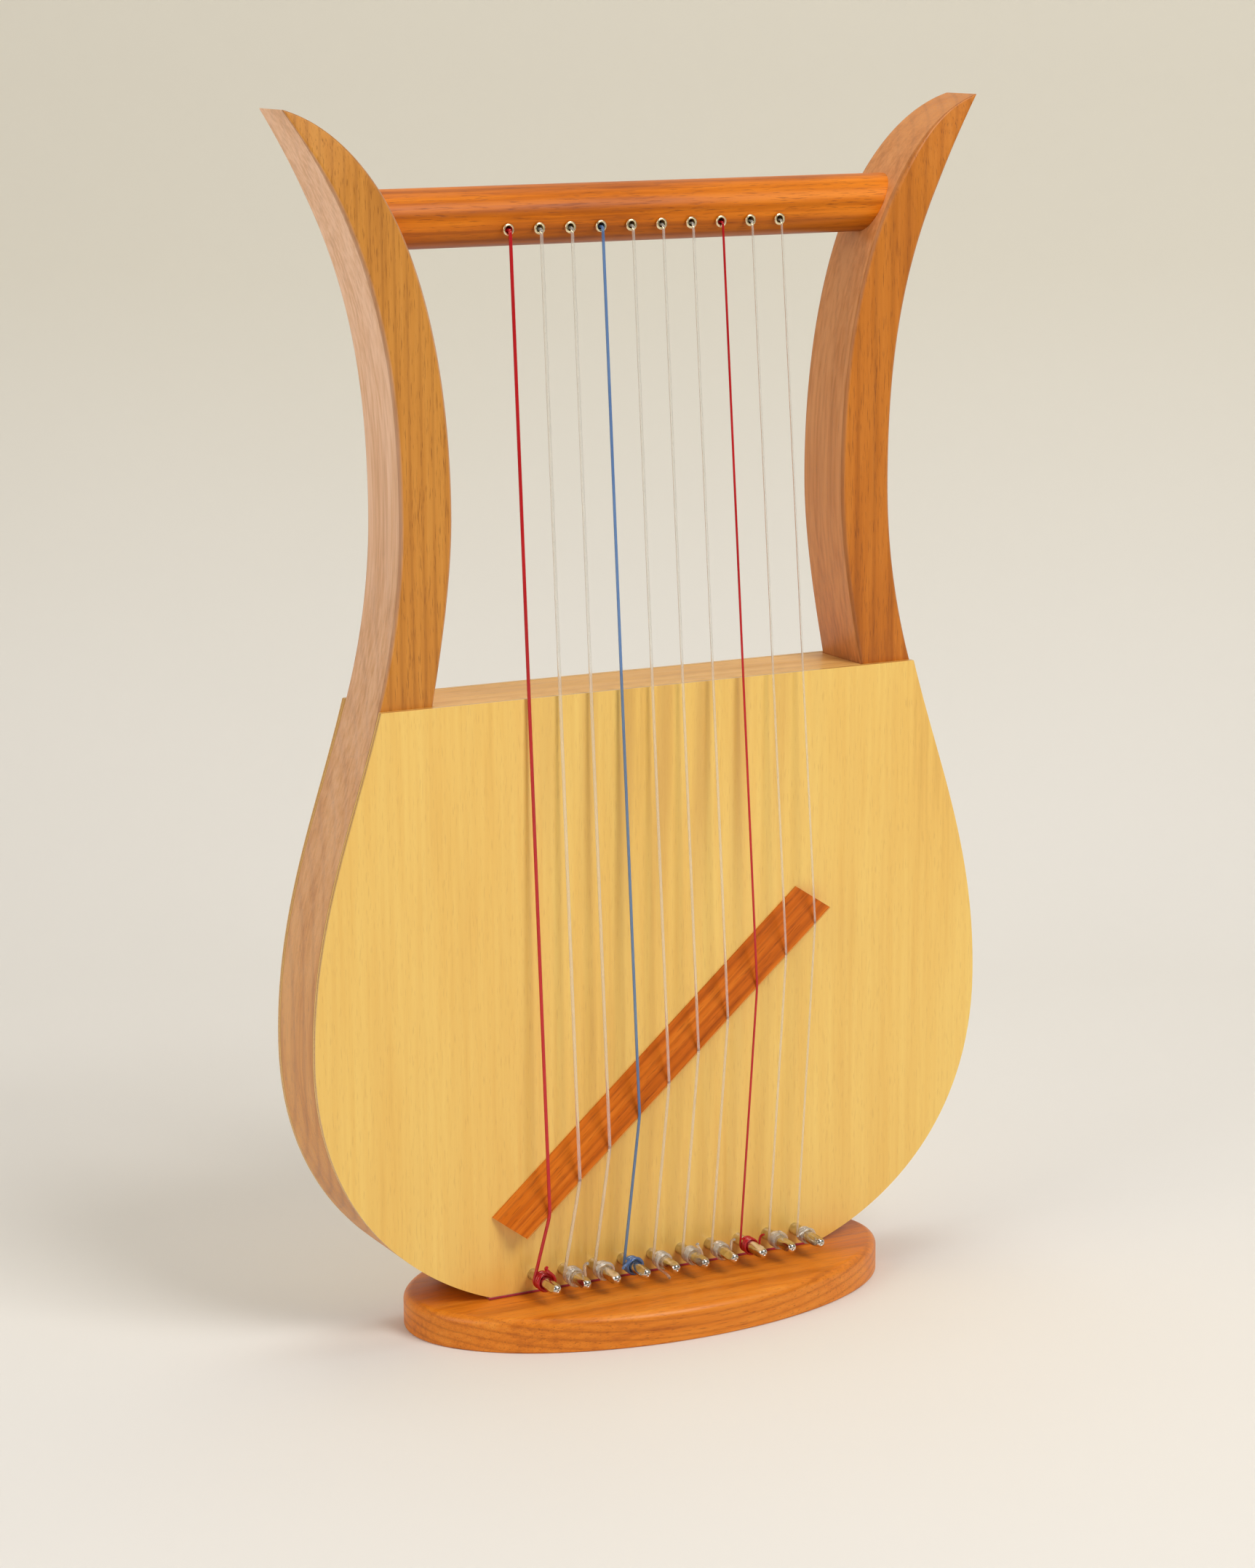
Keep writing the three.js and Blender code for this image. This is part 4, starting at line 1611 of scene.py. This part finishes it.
@dataclass
class Studio:
    """The floor, the wall, the lights and the camera."""

    camera_place: Place = (-0.7479, -1.4319, 0.5731)
    camera_yaw: float = 27.36
    camera_pitch: float = 11.98
    camera_roll: float = -0.32
    lens: float = 88.08
    floor_reach: float = 3.0
    bend_start: float = 0.55
    wall_height: float = 3.2

    def set_camera(self) -> None:
        """Puts the camera in front, to the left and a little above."""
        yaw, pitch, roll = (
            math.radians(a) for a in (self.camera_yaw, self.camera_pitch, self.camera_roll)
        )
        ahead = Vector(
            (math.sin(yaw) * math.cos(pitch), math.cos(yaw) * math.cos(pitch), -math.sin(pitch))
        )
        right = Vector((math.cos(yaw), -math.sin(yaw), 0))
        up = right.cross(ahead)
        c, s = math.cos(roll), math.sin(roll)
        axes = Matrix((c * right + s * up, c * up - s * right, -ahead)).transposed()
        data = bpy.data.cameras.new("camera")
        data.lens = self.lens
        data.sensor_width = 36
        data.clip_start = 0.05
        camera = bpy.data.objects.new("camera", data)
        camera.matrix_world = Matrix.Translation(self.camera_place) @ axes.to_4x4()
        bpy.context.scene.collection.objects.link(camera)
        bpy.context.scene.camera = camera

    def build_sheet(self) -> None:
        """Builds a pale sheet that lies as the floor and rises as the wall."""
        bm = bmesh.new()
        reach = self.floor_reach
        profile = [(-reach, 0), (self.bend_start, 0)]
        turn_radius = 0.5
        for a in range(10, 91, 10):
            angle = math.radians(a)
            profile.append(
                (
                    self.bend_start + turn_radius * math.sin(angle),
                    turn_radius * (1 - math.cos(angle)),
                )
            )
        profile.append((self.bend_start + turn_radius, self.wall_height))
        verts = [bm.verts.new((-reach, y, z)) for y, z in profile]
        edges = [bm.edges.new(pair) for pair in zip(verts, verts[1:])]
        made = bmesh.ops.extrude_edge_only(bm, edges=edges)["geom"]
        moved = [g for g in made if isinstance(g, bmesh.types.BMVert)]
        bmesh.ops.translate(bm, verts=moved, vec=(2 * reach, 0, 0))
        turn = Matrix.Rotation(-math.radians(self.camera_yaw), 3, "Z")
        bmesh.ops.rotate(bm, cent=(0, 0, 0), matrix=turn, verts=bm.verts)
        for face in bm.faces:
            face.smooth = True
            if face.normal.z < 0:
                face.normal_flip()
        sheet = loose_object("pale_sheet", bm)
        sheet.data.materials.append(
            Paper("pale_paper", (0.84, 0.825, 0.8), (0.74, 0.71, 0.62)).material()
        )

    def add_light(
        self, name: str, place: Place, aim: Place, size: float, power: float, colour: Colour
    ) -> None:
        """Adds one soft square light.

        Args:
            name: The light's name.
            place: Where it hangs.
            aim: The point that it faces.
            size: The length of its side, in metres.
            power: Its power, in watts.
            colour: Its colour.
        """
        data = bpy.data.lights.new(name, "AREA")
        data.size = size
        data.energy = power
        data.color = colour
        light = bpy.data.objects.new(name, data)
        way = Vector(aim) - Vector(place)
        turn = way.to_track_quat("-Z", "Y").to_matrix().to_4x4()
        light.matrix_world = Matrix.Translation(place) @ turn
        bpy.context.scene.collection.objects.link(light)

    def light(self) -> None:
        """Hangs the lights and sets the soft light from all round."""
        aim = (0.0, 0.0, 0.24)
        self.add_light("key", (0.7, -1.9, 2.0), aim, 1.2, 43, (1.0, 0.97, 0.93))
        self.add_light("fill", (-2.0, -0.5, 1.1), aim, 1.4, 14, (1.0, 0.97, 0.94))
        self.add_light("top", (0.1, 0.2, 2.1), aim, 1.0, 8.5, (1.0, 0.98, 0.95))
        world = bpy.data.worlds.new("soft_room")
        world.use_nodes = True
        tree = world.node_tree
        way = tree.nodes.new("ShaderNodeTexCoord")
        parts = tree.nodes.new("ShaderNodeSeparateXYZ")
        room = tree.nodes.new("ShaderNodeValToRGB")
        for element, (place, level) in zip(room.color_ramp.elements, ((0.0, 0.32), (0.75, 1.0))):
            element.position = place
            element.color = (level, 0.965 * level, 0.9 * level, 1)
        shifted = tree.nodes.new("ShaderNodeMapRange")
        shifted.inputs["From Min"].default_value = -1
        tree.links.new(way.outputs["Generated"], parts.inputs[0])
        tree.links.new(parts.outputs["Y"], shifted.inputs["Value"])
        tree.links.new(shifted.outputs["Result"], room.inputs["Fac"])
        background = tree.nodes["Background"]
        tree.links.new(room.outputs["Color"], background.inputs["Color"])
        background.inputs["Strength"].default_value = 0.4
        bpy.context.scene.world = world
        bpy.context.scene.view_settings.view_transform = "Standard"

    def build(self) -> None:
        """Sets up the whole studio."""
        self.set_camera()
        self.build_sheet()
        self.light()


def corners(box: tuple[Vector, Vector]) -> list[list[float]]:
    """A box as plain lists of numbers, in metres."""
    return [[round(float(v), 6) for v in corner] for corner in box]


def main() -> None:
    """Builds the studio and the lyre."""
    logging.basicConfig(level=logging.INFO, format="%(name)s: %(message)s")
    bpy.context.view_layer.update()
    Studio().build()
    finishes = Finishes()
    strings = Strings(finishes)
    Arms(finishes).build()
    Crossbar(finishes).build()
    Box(finishes).build()
    Bridge(finishes).build()
    Foot(finishes).build()
    strings.build()
    Pins(finishes).build(strings.line_y())
    bpy.context.view_layer.update()


if __name__ == "__main__":
    main()
